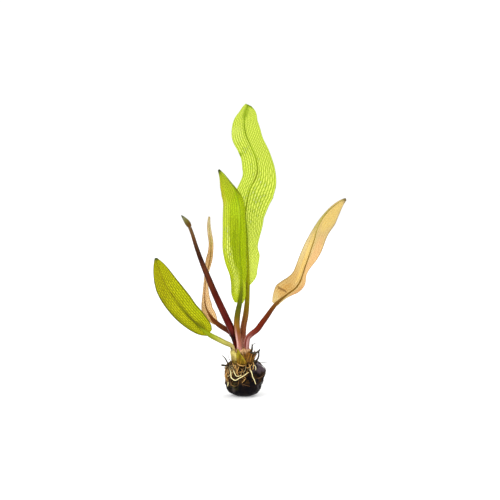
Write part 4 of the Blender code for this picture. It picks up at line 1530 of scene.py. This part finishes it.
@dataclass
class Plug:
    """The plug: a smooth wet bowl of peat, and a rough tangle of peat and roots above it."""

    lump_height: float = 0.7
    lump_scale: float = 0.24
    crumb_height: float = 0.4
    crumb_scale: float = 0.7
    ledge: float = 11.6
    recess: float = 0.7
    dents: Sequence[tuple[Point, float, float]] = (
        ((-0.5, -13.0, 24.0), 7.0, -1.7),
        ((-15.5, -5.0, 6.5), 7.0, 1.4),
    )
    moss: Point = (-10.0, -13.0, 9.0)
    moss_reach: float = 6.5
    # Height above which the right shoulder is less tangled and has the most painted sheen.
    violet_from: float = 19.5
    shoulder_from: tuple[float, float] = (4.5, 13.0)
    fade: float = 4.0
    barer: float = 0.4
    heel: float = 1.3
    mesh: Mesh = field(init=False)

    def cover(self, spot: Vector) -> tuple[float, float]:
        """What covers the plug at a spot.

        Args:
            spot: The spot.

        Returns:
            How tangled it is, from 0 on the bowl to 1, and how much it belongs to the bare right shoulder.
        """
        edge = self.ledge + 1.6 * noise.noise(Vector((spot.x * 0.16, spot.y * 0.16, 3.0)))
        tangle = past(spot.z, edge, 2.2)
        right, up = self.shoulder_from
        shoulder = past(spot.x, right, self.fade) * past(spot.z, up, self.fade)
        top = past(spot.z, self.violet_from, self.fade)
        return tangle * (1 - self.barer * shoulder - self.barer * shoulder * top), shoulder

    def build(self, solid: Object) -> Object:
        """Makes the plug.

        Args:
            solid: The plain solid that it stands for.

        Returns:
            The plug.
        """
        shape = bmesh.new()
        shape.from_mesh(solid.data)
        bmesh.ops.remove_doubles(shape, verts=shape.verts, dist=0.00001)
        bmesh.ops.recalc_face_normals(shape, faces=shape.faces)
        rough = bpy.data.meshes.new("root_plug")
        shape.to_mesh(rough)
        shape.free()
        carrier = joined("root_plug", [rough])
        fine = carrier.modifiers.new("fine", "SUBSURF")
        fine.subdivision_type = "SIMPLE"
        fine.levels = fine.render_levels = 2
        self.mesh = plain_mesh(carrier)
        carrier.modifiers.clear()
        carrier.data = self.mesh
        self._roughen()
        self.mesh.materials.clear()
        self.mesh.materials.append(WET_PEAT.make())
        self.mesh.shade_smooth()
        return place(carrier, "root_plug")

    def _roughen(self) -> None:
        """Adds lumps and crumbs to the surface, and leaves the underside flat."""
        covers, moved = [], []
        for vert in self.mesh.vertices:
            spot = vert.co / MM
            tangle, shoulder = self.cover(spot)
            covers.append((tangle, shoulder))
            lumps = noise.fractal(spot * self.lump_scale, 0.9, 2.1, 2) * self.lump_height
            ridges = 1 - 2.4 * abs(noise.noise(spot * self.crumb_scale))
            crumbs = (ridges + 0.6 * noise.noise(spot * 1.9)) * self.crumb_height
            lift = lumps * (0.7 + 0.6 * tangle) + crumbs * (0.15 + tangle) - self.recess * tangle
            for middle, reach, height in self.dents:
                lift += height * max(0, 1 - (spot - Vector(middle)).length / reach)
            rounding = self.heel * max(0, 1 - spot.z / 3) ** 2
            inwards = Vector((spot.x, spot.y, 0)).normalized() * -rounding * MM
            moved.append(vert.co + inwards + vert.normal * lift * MM * min(1, max(0, spot.z - 0.05) / 2))
        for vert, spot in zip(self.mesh.vertices, moved):
            vert.co = spot
        carry(self.mesh, "tangle", np.array([tangle for tangle, _ in covers]))
        # Where the peat's painted sheen is strongest: on top of the right shoulder.
        violet_sheen = [past(vert.co.z / MM, self.violet_from, self.fade) for vert in self.mesh.vertices]
        carry(self.mesh, "lobe", np.array([shoulder for _, shoulder in covers]) * np.array(violet_sheen))
        far = [(vert.co / MM - Vector(self.moss)).length / self.moss_reach for vert in self.mesh.vertices]
        carry(self.mesh, "moss", np.array([min(max(1.4 * (1 - d), 0), 1) for d in far]))

    def ground(self) -> BVHTree:
        """The plug's surface in millimetres, for laying roots on."""
        points = [vert.co / MM for vert in self.mesh.vertices]
        return BVHTree.FromPolygons(points, [face.vertices[:] for face in self.mesh.polygons])


@dataclass(frozen=True)
class Ground:
    """The plug's surface, and the crown's foot above it, which the roots grow from."""

    surface: BVHTree
    middle: float = 15.0
    foot: Point = (0.6, 0.0, 29.6)
    foot_radius: float = 5.8

    def spot(self, turn: float, lift: float, height: float) -> Point:
        """A point over the plug.

        Args:
            turn: Its azimuth from the plug's middle.
            lift: Its elevation from there.
            height: How far off the surface it is.

        Returns:
            The point.
        """
        out = Vector((math.cos(turn) * math.cos(lift), math.sin(turn) * math.cos(lift), math.sin(lift)))
        hit = self.surface.ray_cast(out * 60 + Vector((0, 0, self.middle)), -out)[0]
        return tuple(hit + out * height)

    def start(self, turn: float, sink: float = 0.0) -> Point:
        """Where a root leaves the crown's foot.

        Args:
            turn: Its azimuth.
            sink: How far below the foot's rim it leaves.

        Returns:
            The point.
        """
        x, y, z = self.foot
        reach = self.foot_radius
        return x + reach * math.cos(turn), y + 0.84 * reach * math.sin(turn), z - sink


@dataclass
class Root:
    """A root that lies over the plug: its route as azimuth and elevation from the plug's middle."""

    name: str
    finish: RootFinish
    radius: float
    route: Sequence[tuple[float, float]]
    from_crown: bool = True
    clearance: float = 0.3
    taper: float = 0.45

    def points(self, ground: Ground) -> np.ndarray:
        """The root's line on the plug.

        Args:
            ground: What it lies on and grows from.

        Returns:
            Rows of x, y, z and radius.
        """
        rows = np.radians(np.array(self.route, float))
        places = np.linspace(0, len(rows) - 1, 8 * len(rows))
        fine = [between(rows, at) for at in places]
        line = np.array([ground.spot(turn, lift, self.radius + self.clearance) for turn, lift in fine])
        for _ in range(3):
            line[1:-1] = line[1:-1] * 0.4 + (line[:-2] + line[2:]) * 0.3
        if self.from_crown:
            line = arched(ground.start(fine[0][0]), line)
        share = np.linspace(0, 1, len(line))
        wobble = np.array([noise.noise(Vector(tuple(spot)) * 0.6) for spot in line])
        radius = self.radius * (1 - self.taper * share**1.5) * (1 + 0.18 * wobble)
        radius[-1] *= 0.35
        if not self.from_crown:
            inwards = (line[0] - (0, 0, ground.middle)) / np.linalg.norm(line[0] - (0, 0, ground.middle))
            line[0] -= inwards * 1.6
            line[1] -= inwards * 0.5
        return np.column_stack([line, radius])


def between(rows: np.ndarray, at: float) -> np.ndarray:
    """The row at a place on a smooth curve through rows.

    Args:
        rows: The rows that the curve passes through.
        at: The place, in rows from the first.

    Returns:
        The row.
    """
    k = min(int(at), len(rows) - 2)
    t = at - k
    before, here = rows[max(k - 1, 0)], rows[k]
    there, after = rows[k + 1], rows[min(k + 2, len(rows) - 1)]
    bend = 2 * before - 5 * here + 4 * there - after
    return here + 0.5 * t * (there - before + t * (bend + t * (3 * (here - there) + after - before)))


def smooth_line(rows: Sequence[tuple[float, float, float, float]]) -> np.ndarray:
    """The smooth line through a few given points of x, y, z and radius."""
    given = np.array(rows, float)
    return np.array([between(given, at) for at in np.linspace(0, len(given) - 1, 6 * len(given))])


def arched(start: Point, line: np.ndarray, rise: float = 1.0, steps: int = 6) -> np.ndarray:
    """A line with an arch before it.

    Args:
        start: Where the arch begins.
        line: The line that it leads to.
        rise: How high the arch is.
        steps: How many points it has.

    Returns:
        The longer line.
    """
    share = np.linspace(0, 1, steps, endpoint=False)[:, None]
    arch = np.array(start) * (1 - share) + line[0] * share
    arch[:, 2] += rise * np.sin(math.pi * share[:, 0])
    return np.concatenate([arch, line])


ROOTS = [
    Root(
        "root_loop_outer", CREAM_ROOT, 0.46,
        [(208, 43), (213, 36), (223, 27), (227, 13), (234, 4)]
        + [(243, 1), (254, 8), (268, 16), (280, 24), (290, 28)],
        False, 0.9,
    ),
    Root(
        "root_loop_inner", CREAM_ROOT, 0.42,
        [(222, 42), (232, 31), (239, 21), (246, 15), (256, 17), (262, 21)],
        False, 0.9,
    ),
    Root("root_straight", CREAM_ROOT, 0.46, [(295, 42), (298, 28), (303, 8), (311, -12)], False, 0.4),
    Root("root_left_thick", GOLD_ROOT, 0.8, [(195, 44), (190, 27), (203, 14), (206, 1)]),
    Root("root_left_low", CREAM_ROOT, 0.5, [(215, -5), (214, -12), (211, -20)], False),
    Root("root_left_end", GOLD_ROOT, 0.5, [(180, 42), (178, 22), (183, 3)]),
    Root("root_front_thin", BROWN_ROOT, 0.36, [(260, -10), (267, -12), (276, -14), (292, -18)], False),
    Root("root_front_short", GOLD_ROOT, 0.4, [(279, 8), (271, -1), (265, -7)], False),
    Root("root_right_arc", CREAM_ROOT, 0.4, [(309, 36), (313, 45), (319, 45), (317, 38), (314, 30)], False),
    Root("root_right_flat", BROWN_ROOT, 0.42, [(311, 5), (321, 6), (333, 9), (345, 13)], False),
    Root("root_right_side", BROWN_ROOT, 0.6, [(14, 41), (20, 30), (17, 6), (22, -16)]),
    Root("root_back_right", CREAM_ROOT, 0.6, [(48, 42), (44, 26), (52, 2), (50, -20)]),
    Root("root_back_middle", GOLD_ROOT, 0.6, [(86, 42), (92, 24), (84, 0), (90, -26)]),
    Root("root_back_left", CREAM_ROOT, 0.6, [(128, 42), (136, 24), (130, 2), (138, -20)]),
    Root("root_left_side", GOLD_ROOT, 0.6, [(162, 43), (166, 24), (162, 2), (170, -20)]),
]

# Short curls in front of the crown's foot, as lines of x, y, z and radius.
CURLS = [
    [(-7.2, -7.4, 30.8, 0.3), (-4.4, -9.8, 28.2, 0.44), (-0.8, -10.4, 27.2, 0.44), (2.6, -9.8, 27.8, 0.3)],
    [(-3.4, -8.6, 27.8, 0.3), (-4.4, -10.8, 25.2, 0.45), (-5.6, -12.6, 21.8, 0.42), (-4, -13.6, 19.4, 0.25)],
    [(-7.4, -8.4, 28.8, 0.3), (-6.6, -10.4, 26.0, 0.4), (-5.8, -12.0, 23.4, 0.28)],
    [(-9.6, -6.6, 29.6, 0.3), (-8.6, -8.8, 27.4, 0.36), (-7.4, -10.4, 25.2, 0.3)],
    [(4.2, -8.0, 29.0, 0.3), (5.0, -9.6, 27.4, 0.42), (5.8, -11.0, 25.2, 0.4), (6.2, -12.2, 22.8, 0.25)],
    [(7.6, -7.6, 29.8, 0.3), (8.4, -9.0, 29.4, 0.36), (8.6, -9.8, 27.0, 0.36), (7.8, -11.0, 24.0, 0.22)],
    [(1.6, -9.0, 27.6, 0.28), (3.2, -10.2, 25.4, 0.36), (5.2, -10.6, 26.4, 0.34), (7.4, -9.0, 28.8, 0.22)],
]

# Fine golden roots in places of their own: radius, and route as azimuth and elevation.
WISPS = [
    (0.4, [(206, 40), (209, 26), (208, 10), (211, -3)]),
    (0.34, [(202, 38), (204, 22), (206, 6), (204, -8)]),
    (0.36, [(212, 36), (214, 22), (212, 8), (216, -6)]),
    (0.3, [(199, 30), (201, 16), (208, 4), (210, -10)]),
    (0.3, [(256, 24), (264, 17), (274, 13), (280, 6)]),
    (0.26, [(252, 18), (262, 12), (268, 8), (277, 3)]),
    (0.3, [(288, 40), (284, 30), (280, 22), (276, 18)]),
    (0.28, [(270, 46), (265, 38), (259, 31), (263, 22)]),
    (0.24, [(262, 44), (268, 34), (272, 26), (268, 20)]),
    (0.22, [(256, 46), (261, 40), (270, 36), (276, 40)]),
]


class Kind(Enum):
    """The three kinds of fine roots: their name, number, and thinnest and thickest radius."""

    CREAM = ("rootlets_cream", 9, 0.16, 0.3)
    GOLD = ("rootlets_gold", 46, 0.15, 0.34)
    BROWN = ("rootlets_brown", 110, 0.14, 0.44)


@dataclass
class RootNet:
    """The larger roots, and the fine ones that tangle over the plug between them."""

    roots: Sequence[Root]
    curls: Sequence[Sequence[tuple[float, float, float, float]]]
    wisps: Sequence[tuple[float, Sequence[tuple[float, float]]]]
    step: float = 0.08
    lowest: float = -0.3
    bare: tuple[float, float] = (4.95, 6.2)
    hollow: tuple[float, float] = (4.3, 4.95)
    tangle: tuple[float, float] = (3.1, 4.15)
    hollow_share: float = 0.85
    crowded_share: float = 0.55
    attached_share: float = 0.55
    turning: float = 0.32
    seed: int = 7

    def build(self, stem: Recipe, ground: Ground) -> None:
        """Makes the roots.

        Args:
            stem: Turns a line into a tube.
            ground: What they lie on and grow from.
        """
        for root in self.roots:
            line = wire(root.name, [root.points(ground)])
            place(tubes(stem, root.name, line, 12, root.finish), root.name)
        finishes = {Kind.CREAM: CREAM_ROOT, Kind.GOLD: GOLD_ROOT, Kind.BROWN: BROWN_ROOT}
        for order, (kind, finish) in enumerate(finishes.items()):
            name, count, thin, thick = kind.value
            rng = random.Random(self.seed + order)
            routes = [self.rootlet(ground, rng, rng.uniform(thin, thick), kind) for _ in range(count)]
            shades = [rng.uniform(0, 1) ** 1.3 for _ in routes]
            if kind is Kind.GOLD:
                routes += [smooth_line(curl) for curl in self.curls]
                wisps = [Root(name, finish, size, route, False, 0.5) for size, route in self.wisps]
                routes += [wisp.points(ground) for wisp in wisps]
                shades += [0.0] * (len(self.curls) + len(wisps))
            place(tubes(stem, name, wire(name, routes, shades), 6, finish), [])

    def rootlet(self, ground: Ground, rng: random.Random, size: float, kind: Kind) -> np.ndarray:
        """A fine root that wanders down the plug.

        Args:
            ground: What it lies on and grows from.
            rng: Makes the roots differ.
            size: Its radius.
            kind: Which kind it is. The golden ones crowd on the left of the front.

        Returns:
            Rows of x, y, z and radius.
        """
        crowded = kind is Kind.GOLD and rng.random() < self.crowded_share
        turn = rng.uniform(*self.tangle) if crowded else rng.uniform(0, 2 * math.pi)
        while self.bare[0] < turn < self.bare[1] or (
            self.hollow[0] < turn < self.hollow[1] and rng.random() < self.hollow_share
        ):
            turn = rng.uniform(0, 2 * math.pi)
        attached = rng.random() < self.attached_share
        lift = math.radians(rng.uniform(42, 48) if attached else rng.uniform(0, 44))
        heading = -math.pi / 2 + rng.gauss(0, 0.5)
        steps = rng.randint(8, 18)
        stand = rng.uniform(0.1, 1.1)
        first = turn
        places = []
        for k in range(steps):
            off = size * 0.8 + stand * math.sin(math.pi * k / steps) * rng.uniform(0.6, 1)
            places.append(ground.spot(turn, lift, off))
            heading += rng.gauss(0, self.turning)
            if self.bare[0] < turn + self.step * math.cos(heading) < self.bare[1]:
                heading = math.pi - heading
            turn += self.step * math.cos(heading)
            lift = max(lift + self.step * math.sin(heading), self.lowest)
        line = np.array(places)
        for _ in range(2):
            line[1:-1] = line[1:-1] * 0.5 + (line[:-2] + line[2:]) * 0.25
        if attached:
            line = arched(ground.start(first, rng.uniform(0, 1.6)), line, rng.uniform(0.2, 1.6))
        return np.column_stack([line, size * np.linspace(1, 0.4, len(line))])


@dataclass
class Sheath:
    """An old leaf base that hugs the crown, with a pointed or frayed tip."""

    name: str
    finish: HuskFinish
    middle: float
    half_spread: float
    foot: float
    tip: float
    narrowing: float = 0.5
    lean: float = 0.5
    fringe: float = 0.4
    twist: float = 0.0
    stand_off: float = 0.55


@dataclass
class Crown:
    """The short crown that the leaves grow from, and the old leaf bases round it."""

    sheaths: Sequence[Sheath]
    centre: float = -0.9
    squash: float = 0.84
    heights: Sequence[float] = (26.9, 29.0, 31.5, 34.5, 37.3, 39.2, 40.4, 41.2)
    widths: Sequence[float] = (7.4, 7.6, 7.8, 8.0, 8.2, 7.6, 6.2, 3.6)
    foot: float = 26.9
    top: float = 41.2
    collar: float = 38.5
    husk_wall: float = 0.45

    def width(self, z: float) -> float:
        """The crown's half-width at a height."""
        return float(np.interp(z, self.heights, self.widths))

    def hug(self, z: float) -> float:
        """How far out something that hugs the crown lies. It stays as far out above the collar."""
        return self.width(min(z, self.collar))

    def build(self) -> None:
        """Makes the crown and its sheaths."""
        self._flesh()
        for sheath in self.sheaths:
            self._sheath(sheath)

    def _flesh(self, sides: int = 64, levels: int = 26) -> None:
        """Makes the fleshy middle, ribbed from top to bottom.

        Args:
            sides: How many sides it has.
            levels: How many rings it has.
        """
        shape = bmesh.new()
        rings = []
        for level in range(levels + 1):
            z = self.foot + (self.top - self.foot) * level / levels
            ring = []
            for side in range(sides):
                turn = 2 * math.pi * side / sides
                rib = noise.noise(Vector((math.cos(turn) * 4.2, math.sin(turn) * 4.2, z * 0.1)))
                reach = self.width(z) + 0.5 * rib
                x, y = reach * math.cos(turn), reach * math.sin(turn) * self.squash
                ring.append(shape.verts.new((self.centre + x, y, z + 0.25 * rib)))
            rings.append(ring)
        for lower, upper in zip(rings, rings[1:]):
            for k in range(sides):
                shape.faces.new((lower[k], lower[(k + 1) % sides], upper[(k + 1) % sides], upper[k]))
        shape.faces.new(reversed(rings[0]))
        lid = shape.verts.new((self.centre, 0, self.top + 0.3))
        for k in range(sides):
            shape.faces.new((rings[-1][k], rings[-1][(k + 1) % sides], lid))
        place(joined("crown", [self._dressed("crown", shape, CROWN_FLESH)]), "crown")

    def _dressed(self, name: str, shape: bmesh.types.BMesh, finish: HuskFinish) -> Mesh:
        """A mesh in metres with its finish.

        Args:
            name: The mesh's name.
            shape: The shape in millimetres, which is used up.
            finish: The finish.

        Returns:
            The mesh, with the attributes that the finish reads.
        """
        mesh = bpy.data.meshes.new(name)
        spots = np.array([tuple(vert.co) for vert in shape.verts])
        bmesh.ops.scale(shape, vec=(MM, MM, MM), verts=shape.verts)
        shape.to_mesh(mesh)
        shape.free()
        carry(mesh, "along", (spots[:, 2] - self.foot) / (self.top - self.foot))
        turn = np.arctan2(spots[:, 1], spots[:, 0] - self.centre)
        carry(mesh, "grain", np.column_stack([8 * np.cos(turn), 8 * np.sin(turn), spots[:, 2]]))
        mesh.materials.append(finish.make())
        mesh.shade_smooth()
        return mesh

    def _sheath(self, plan: Sheath, columns: int = 36, rows: int = 18) -> None:
        """Makes one sheath.

        Args:
            plan: Its sizes.
            columns: How many faces it has across.
            rows: How many faces it has from foot to tip.
        """
        shape = bmesh.new()
        grid = []
        for row in range(rows + 1):
            line = []
            up = row / rows
            for column in range(columns + 1):
                across = 2 * column / columns - 1
                coarse = noise.noise(Vector((column * 0.55, plan.middle, 0)))
                frayed = coarse + 0.8 * noise.noise(Vector((column * 1.7, plan.middle, 5)))
                spread = plan.half_spread * across * (1 - plan.narrowing * up**2.2)
                turn = math.radians(plan.middle + spread + plan.twist * (up - 0.5))
                z = plan.foot + (plan.tip - plan.foot) * up * (1 - 0.3 * across**2 * up)
                z += plan.fringe * frayed * up**2
                ridge = 0.28 * noise.noise(Vector((column * 0.8, plan.middle, up * 0.6)))
                reach = self.hug(z) + plan.stand_off + plan.lean * up**2 * (1 + 0.5 * frayed) + ridge
                x = self.centre + reach * math.cos(turn)
                line.append(shape.verts.new((x, (reach * self.squash + 0.3) * math.sin(turn), z)))
            grid.append(line)
        for lower, upper in zip(grid, grid[1:]):
            for k in range(columns):
                shape.faces.new((lower[k], lower[k + 1], upper[k + 1], upper[k]))
        piece = joined(plan.name, [self._dressed(plan.name, shape, plan.finish)])
        wall = piece.modifiers.new("wall", "SOLIDIFY")
        wall.thickness = self.husk_wall * MM
        wall.offset = 1
        mesh = plain_mesh(piece)
        piece.modifiers.clear()
        piece.data = mesh
        place(piece, plan.name)


SHEATHS = [
    Sheath("sheath_green", GREEN_HUSK, 258, 23, 28.0, 41.6, 0.9, 0.5, 0.3, -24, 2.0),
    Sheath("sheath_brown", BROWN_HUSK, 308, 30, 27.8, 39.0, 0.05, 1.8, 1.8, 0, 0.5),
    Sheath("sheath_right", BROWN_HUSK, 2, 28, 28.6, 38.2, 0.3, 2.0, 1.8, 0, 0.5),
    Sheath("sheath_back", BROWN_HUSK, 88, 44, 28.6, 38.6, 0.4, 0.7, 1.2, 0, 0.5),
    Sheath("sheath_cream", CREAM_HUSK, 212, 46, 28.0, 44.6, 0.75, 0.9, 0.5, -18, 1.5),
]


@dataclass
class Strips:
    """The strips that the old leaf bases fray into, round the right side and the back of the crown."""

    crown: Crown
    count: int = 96
    azimuths: tuple[float, float] = (-98, 140)
    foot: float = 27.2
    tips: tuple[float, float] = (32.5, 40.5)
    leans: tuple[float, float] = (0.8, 4.8)
    radii: tuple[float, float] = (0.24, 0.6)
    seed: int = 21

    def build(self, stem: Recipe) -> Object:
        """Makes the strips.

        Args:
            stem: Turns a line into a tube.

        Returns:
            The strips, as one piece.
        """
        rng = random.Random(self.seed)
        routes = [self.strip(rng) for _ in range(self.count)]
        # Each strip's darkness is given at random: partly its own tone, partly painted shade for the gaps
        # between the strips.
        shades = [rng.uniform(0, 1) for _ in routes]
        line = wire("husk_strips", routes, shades)
        return place(tubes(stem, "husk_strips", line, 6, HUSK_STRIP), [])

    def strip(self, rng: random.Random, steps: int = 9) -> np.ndarray:
        """One strip, from the crown's foot to its free tip.

        Args:
            rng: Makes the strips differ.
            steps: How many points it has.

        Returns:
            Rows of x, y, z and radius.
        """
        turn = math.radians(rng.uniform(*self.azimuths))
        tip = rng.uniform(*self.tips)
        lean = rng.uniform(*self.leans) * max(math.cos(turn), 0.3)
        drift = rng.uniform(-0.3, 0.3)
        size = rng.uniform(*self.radii)
        rows = []
        for k in range(steps):
            up = k / (steps - 1)
            z = self.foot + (tip - self.foot) * up
            reach = self.crown.hug(z) + 1.0 + lean * up**1.3
            at = turn + drift * up
            x = self.crown.centre + reach * math.cos(at)
            y = (reach * self.crown.squash + 0.4) * math.sin(at)
            rows.append((x, y, z, size * (1 - 0.7 * up**2)))
        return np.array(rows)


@dataclass
class Fibres:
    """The frayed dark fibres that stand off round the crown, as lines of x, y, z and radius."""

    lines: Sequence[Sequence[tuple[float, float, float, float]]]

    def build(self, stem: Recipe) -> Object:
        """Makes the fibres.

        Args:
            stem: Turns a line into a tube.

        Returns:
            The fibres, as one piece.
        """
        line = wire("husk_fibres", [smooth_line(points) for points in self.lines])
        return place(tubes(stem, "husk_fibres", line, 8, DARK_FIBRE), [])


FIBRES = Fibres([
    [(-12.4, -7.2, 26.6, 0.6), (-14.0, -8.0, 30.2, 0.62), (-15.8, -8.5, 33.6, 0.5), (-18.4, -8.8, 36.0, 0.2)],
    [(-13.2, -6.6, 26.6, 0.6), (-15.8, -7.4, 27.0, 0.85), (-18.9, -8.0, 27.5, 0.85)],
    [(-13.0, -6.6, 24.4, 0.3), (-15.2, -7.4, 24.9, 0.42), (-16.4, -7.8, 25.0, 0.5)],
    [(5.6, -5.0, 38.0, 0.8), (7.0, -5.6, 40.2, 1.0), (7.3, -6.0, 43.0, 0.7), (7.2, -6.2, 46.2, 0.2)],
    [(7.3, -6.0, 42.4, 0.28), (8.8, -6.2, 45.6, 0.24), (12.4, -6.4, 46.2, 0.12)],
    [(4.6, -6.8, 38.6, 0.6), (7.0, -7.0, 38.0, 1.0), (9.4, -6.8, 37.3, 1.0), (12.4, -6.6, 38.8, 0.7)],
    [(12.2, -6.6, 38.6, 0.6), (13.2, -6.6, 39.6, 0.8), (14.0, -6.6, 41.2, 0.3)],
    [(13.0, -6.4, 38.8, 0.6), (12.8, -6.4, 34.6, 0.75), (11.2, -6.6, 31.4, 0.85), (8.6, -6.2, 30.0, 0.8)],
    [(12.8, -5.0, 28.6, 0.3), (17.0, -5.6, 29.2, 0.24), (22.0, -6.0, 29.0, 0.1)],
    [(-9.9, -6.2, 39.4, 0.3), (-10.4, -7.0, 41.8, 0.34), (-10.1, -7.2, 44.8, 0.15)],
    [(-8.6, -4.4, 48.4, 0.35), (-9.6, -5.0, 49.8, 0.5), (-10.8, -5.4, 51.4, 0.5), (-12.2, -5.6, 52.6, 0.25)],
    [(-10.4, -6.6, 30.0, 0.24), (-12.4, -7.4, 33.0, 0.2), (-13.0, -7.6, 37.6, 0.1)],
])


# Studio


class Panel(NamedTuple):
    """A square light that faces the plant: its place and side in metres, and its power in watts."""

    name: str
    spot: Point
    side: float
    power: float


@dataclass
class Studio:
    """The pale floor, the soft light and the camera. The floor's sizes are in metres too."""

    aim: Point = (5.5, 0.0, 125.0)
    elevation: float = 5.0
    distance: float = 1180.56
    lens: float = 100.0
    floor_size: float = 9.0
    floor_gap: float = 0.0002
    sky: float = 1.06
    panels: tuple[Panel, ...] = (
        Panel("key", (-0.9, -1.3, 1.3), 1.0, 16),
        Panel("backlight", (0.7, 1.2, 0.9), 1.2, 12),
    )

    def build(self) -> None:
        """Makes the whole studio."""
        self._floor()
        self._light()
        self._camera()
        settings = bpy.context.scene.view_settings
        settings.view_transform = "Standard"
        settings.look = "None"

    def _floor(self) -> None:
        """Lays the floor just under the plug."""
        half, low = self.floor_size / 2, -self.floor_gap
        mesh = bpy.data.meshes.new("floor")
        corners = [(-half, -half, low), (half, -half, low), (half, half, low), (-half, half, low)]
        mesh.from_pydata(corners, [], [(0, 1, 2, 3)])
        mesh.materials.append(PALE_FLOOR.make())
        floor = bpy.data.objects.new("floor", mesh)
        bpy.context.scene.collection.objects.link(floor)

    def _light(self) -> None:
        """Lights the plant evenly from a white surrounding, with a soft key and a soft light from behind."""
        world = bpy.data.worlds.new("white room")
        world.use_nodes = True
        sky = world.node_tree.nodes["Background"]
        sky.inputs["Color"].default_value = (1, 1, 1, 1)
        sky.inputs["Strength"].default_value = self.sky
        bpy.context.scene.world = world
        for panel in self.panels:
            light = bpy.data.lights.new(panel.name, "AREA")
            light.shape = "SQUARE"
            light.size = panel.side
            light.energy = panel.power
            lamp = bpy.data.objects.new(panel.name, light)
            lamp.location = panel.spot
            towards = Vector(self.aim) * MM - Vector(panel.spot)
            lamp.rotation_euler = towards.to_track_quat("-Z", "Y").to_euler()
            bpy.context.scene.collection.objects.link(lamp)

    def _camera(self) -> None:
        """Sets the camera up at the height and distance of the photograph's."""
        camera = bpy.data.objects.new("camera", bpy.data.cameras.new("camera"))
        camera.data.lens = self.lens
        camera.data.clip_start = 0.01
        camera.data.clip_end = 50
        lift = math.radians(self.elevation)
        back = Vector((0, -math.cos(lift), math.sin(lift)))
        camera.location = (Vector(self.aim) + back * self.distance) * MM
        camera.rotation_euler = Euler((math.pi / 2 - lift, 0, 0))
        bpy.context.scene.collection.objects.link(camera)
        bpy.context.scene.camera = camera


LEAVES = [
    LaceLeaf(
        "leaf_tall", TALL_RIBS, LIME_LACE, LIME_STALK, columns=(6, 8),
        pierced=(Area(0.45, 0.56, 0.9, 0.22), Area(-0.35, 0.78, 0.8, 0.12)), slit=0.08, holes=0.22,
        flutes=Flutes(0.9, 30.0, 0.4), midrib_share=0.7, seed=11,
    ),
    LaceLeaf(
        "leaf_front", FRONT_RIBS, FRONT_LACE, FRONT_STALK, columns=(7, 5),
        pierced=(Area(-0.72, 0.48, 0.45, 0.28),), slit=0.1, holes=0.12, flutes=Flutes(0.6, 34.0, 1.4),
        seed=12,
    ),
    LaceLeaf(
        "leaf_low", LOW_RIBS, OLIVE_LACE, OLIVE_STALK, columns=(6, 6),
        cell_length=2.6, root_depth=0.8, flare=0.1, flutes=Flutes(0.4, 40.0), seed=13,
    ),
    LaceLeaf(
        "leaf_amber", AMBER_RIBS, AMBER_LACE, AMBER_STALK, columns=(5, 5),
        cell_length=2.8, flutes=Flutes(0.5, 22.0, 2.0), midrib_share=0.65, vein_thickness=0.36,
        rim_share=0.85, seed=14,
    ),
    LaceLeaf(
        "leaf_curled", CURLED_RIBS, CURLED_LACE, CURLED_STALK, columns=(3, 3),
        cell_length=2.8, flutes=Flutes(0.3, 22.0, 1.0), midrib_share=0.8, rim_share=0.6, seed=15,
    ),
]


def main() -> None:
    """Builds the studio and every piece of the plant."""
    logging.basicConfig(level=logging.INFO, format="%(message)s")
    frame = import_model()
    Studio().build()
    lace, stem = lace_recipe(), stem_recipe()
    for leaf in LEAVES:
        leaf.build(lace, stem)
    FlowerStalk(FLOWER_RIBS, BUD_RIBS).build(stem)
    plug = Plug()
    plug.build(frame["nodes"]["root_plug"])
    RootNet(ROOTS, CURLS, WISPS).build(stem, Ground(plug.ground()))
    crown = Crown(SHEATHS)
    crown.build()
    Strips(crown).build(stem)
    FIBRES.build(stem)


if __name__ == "__main__":
    main()
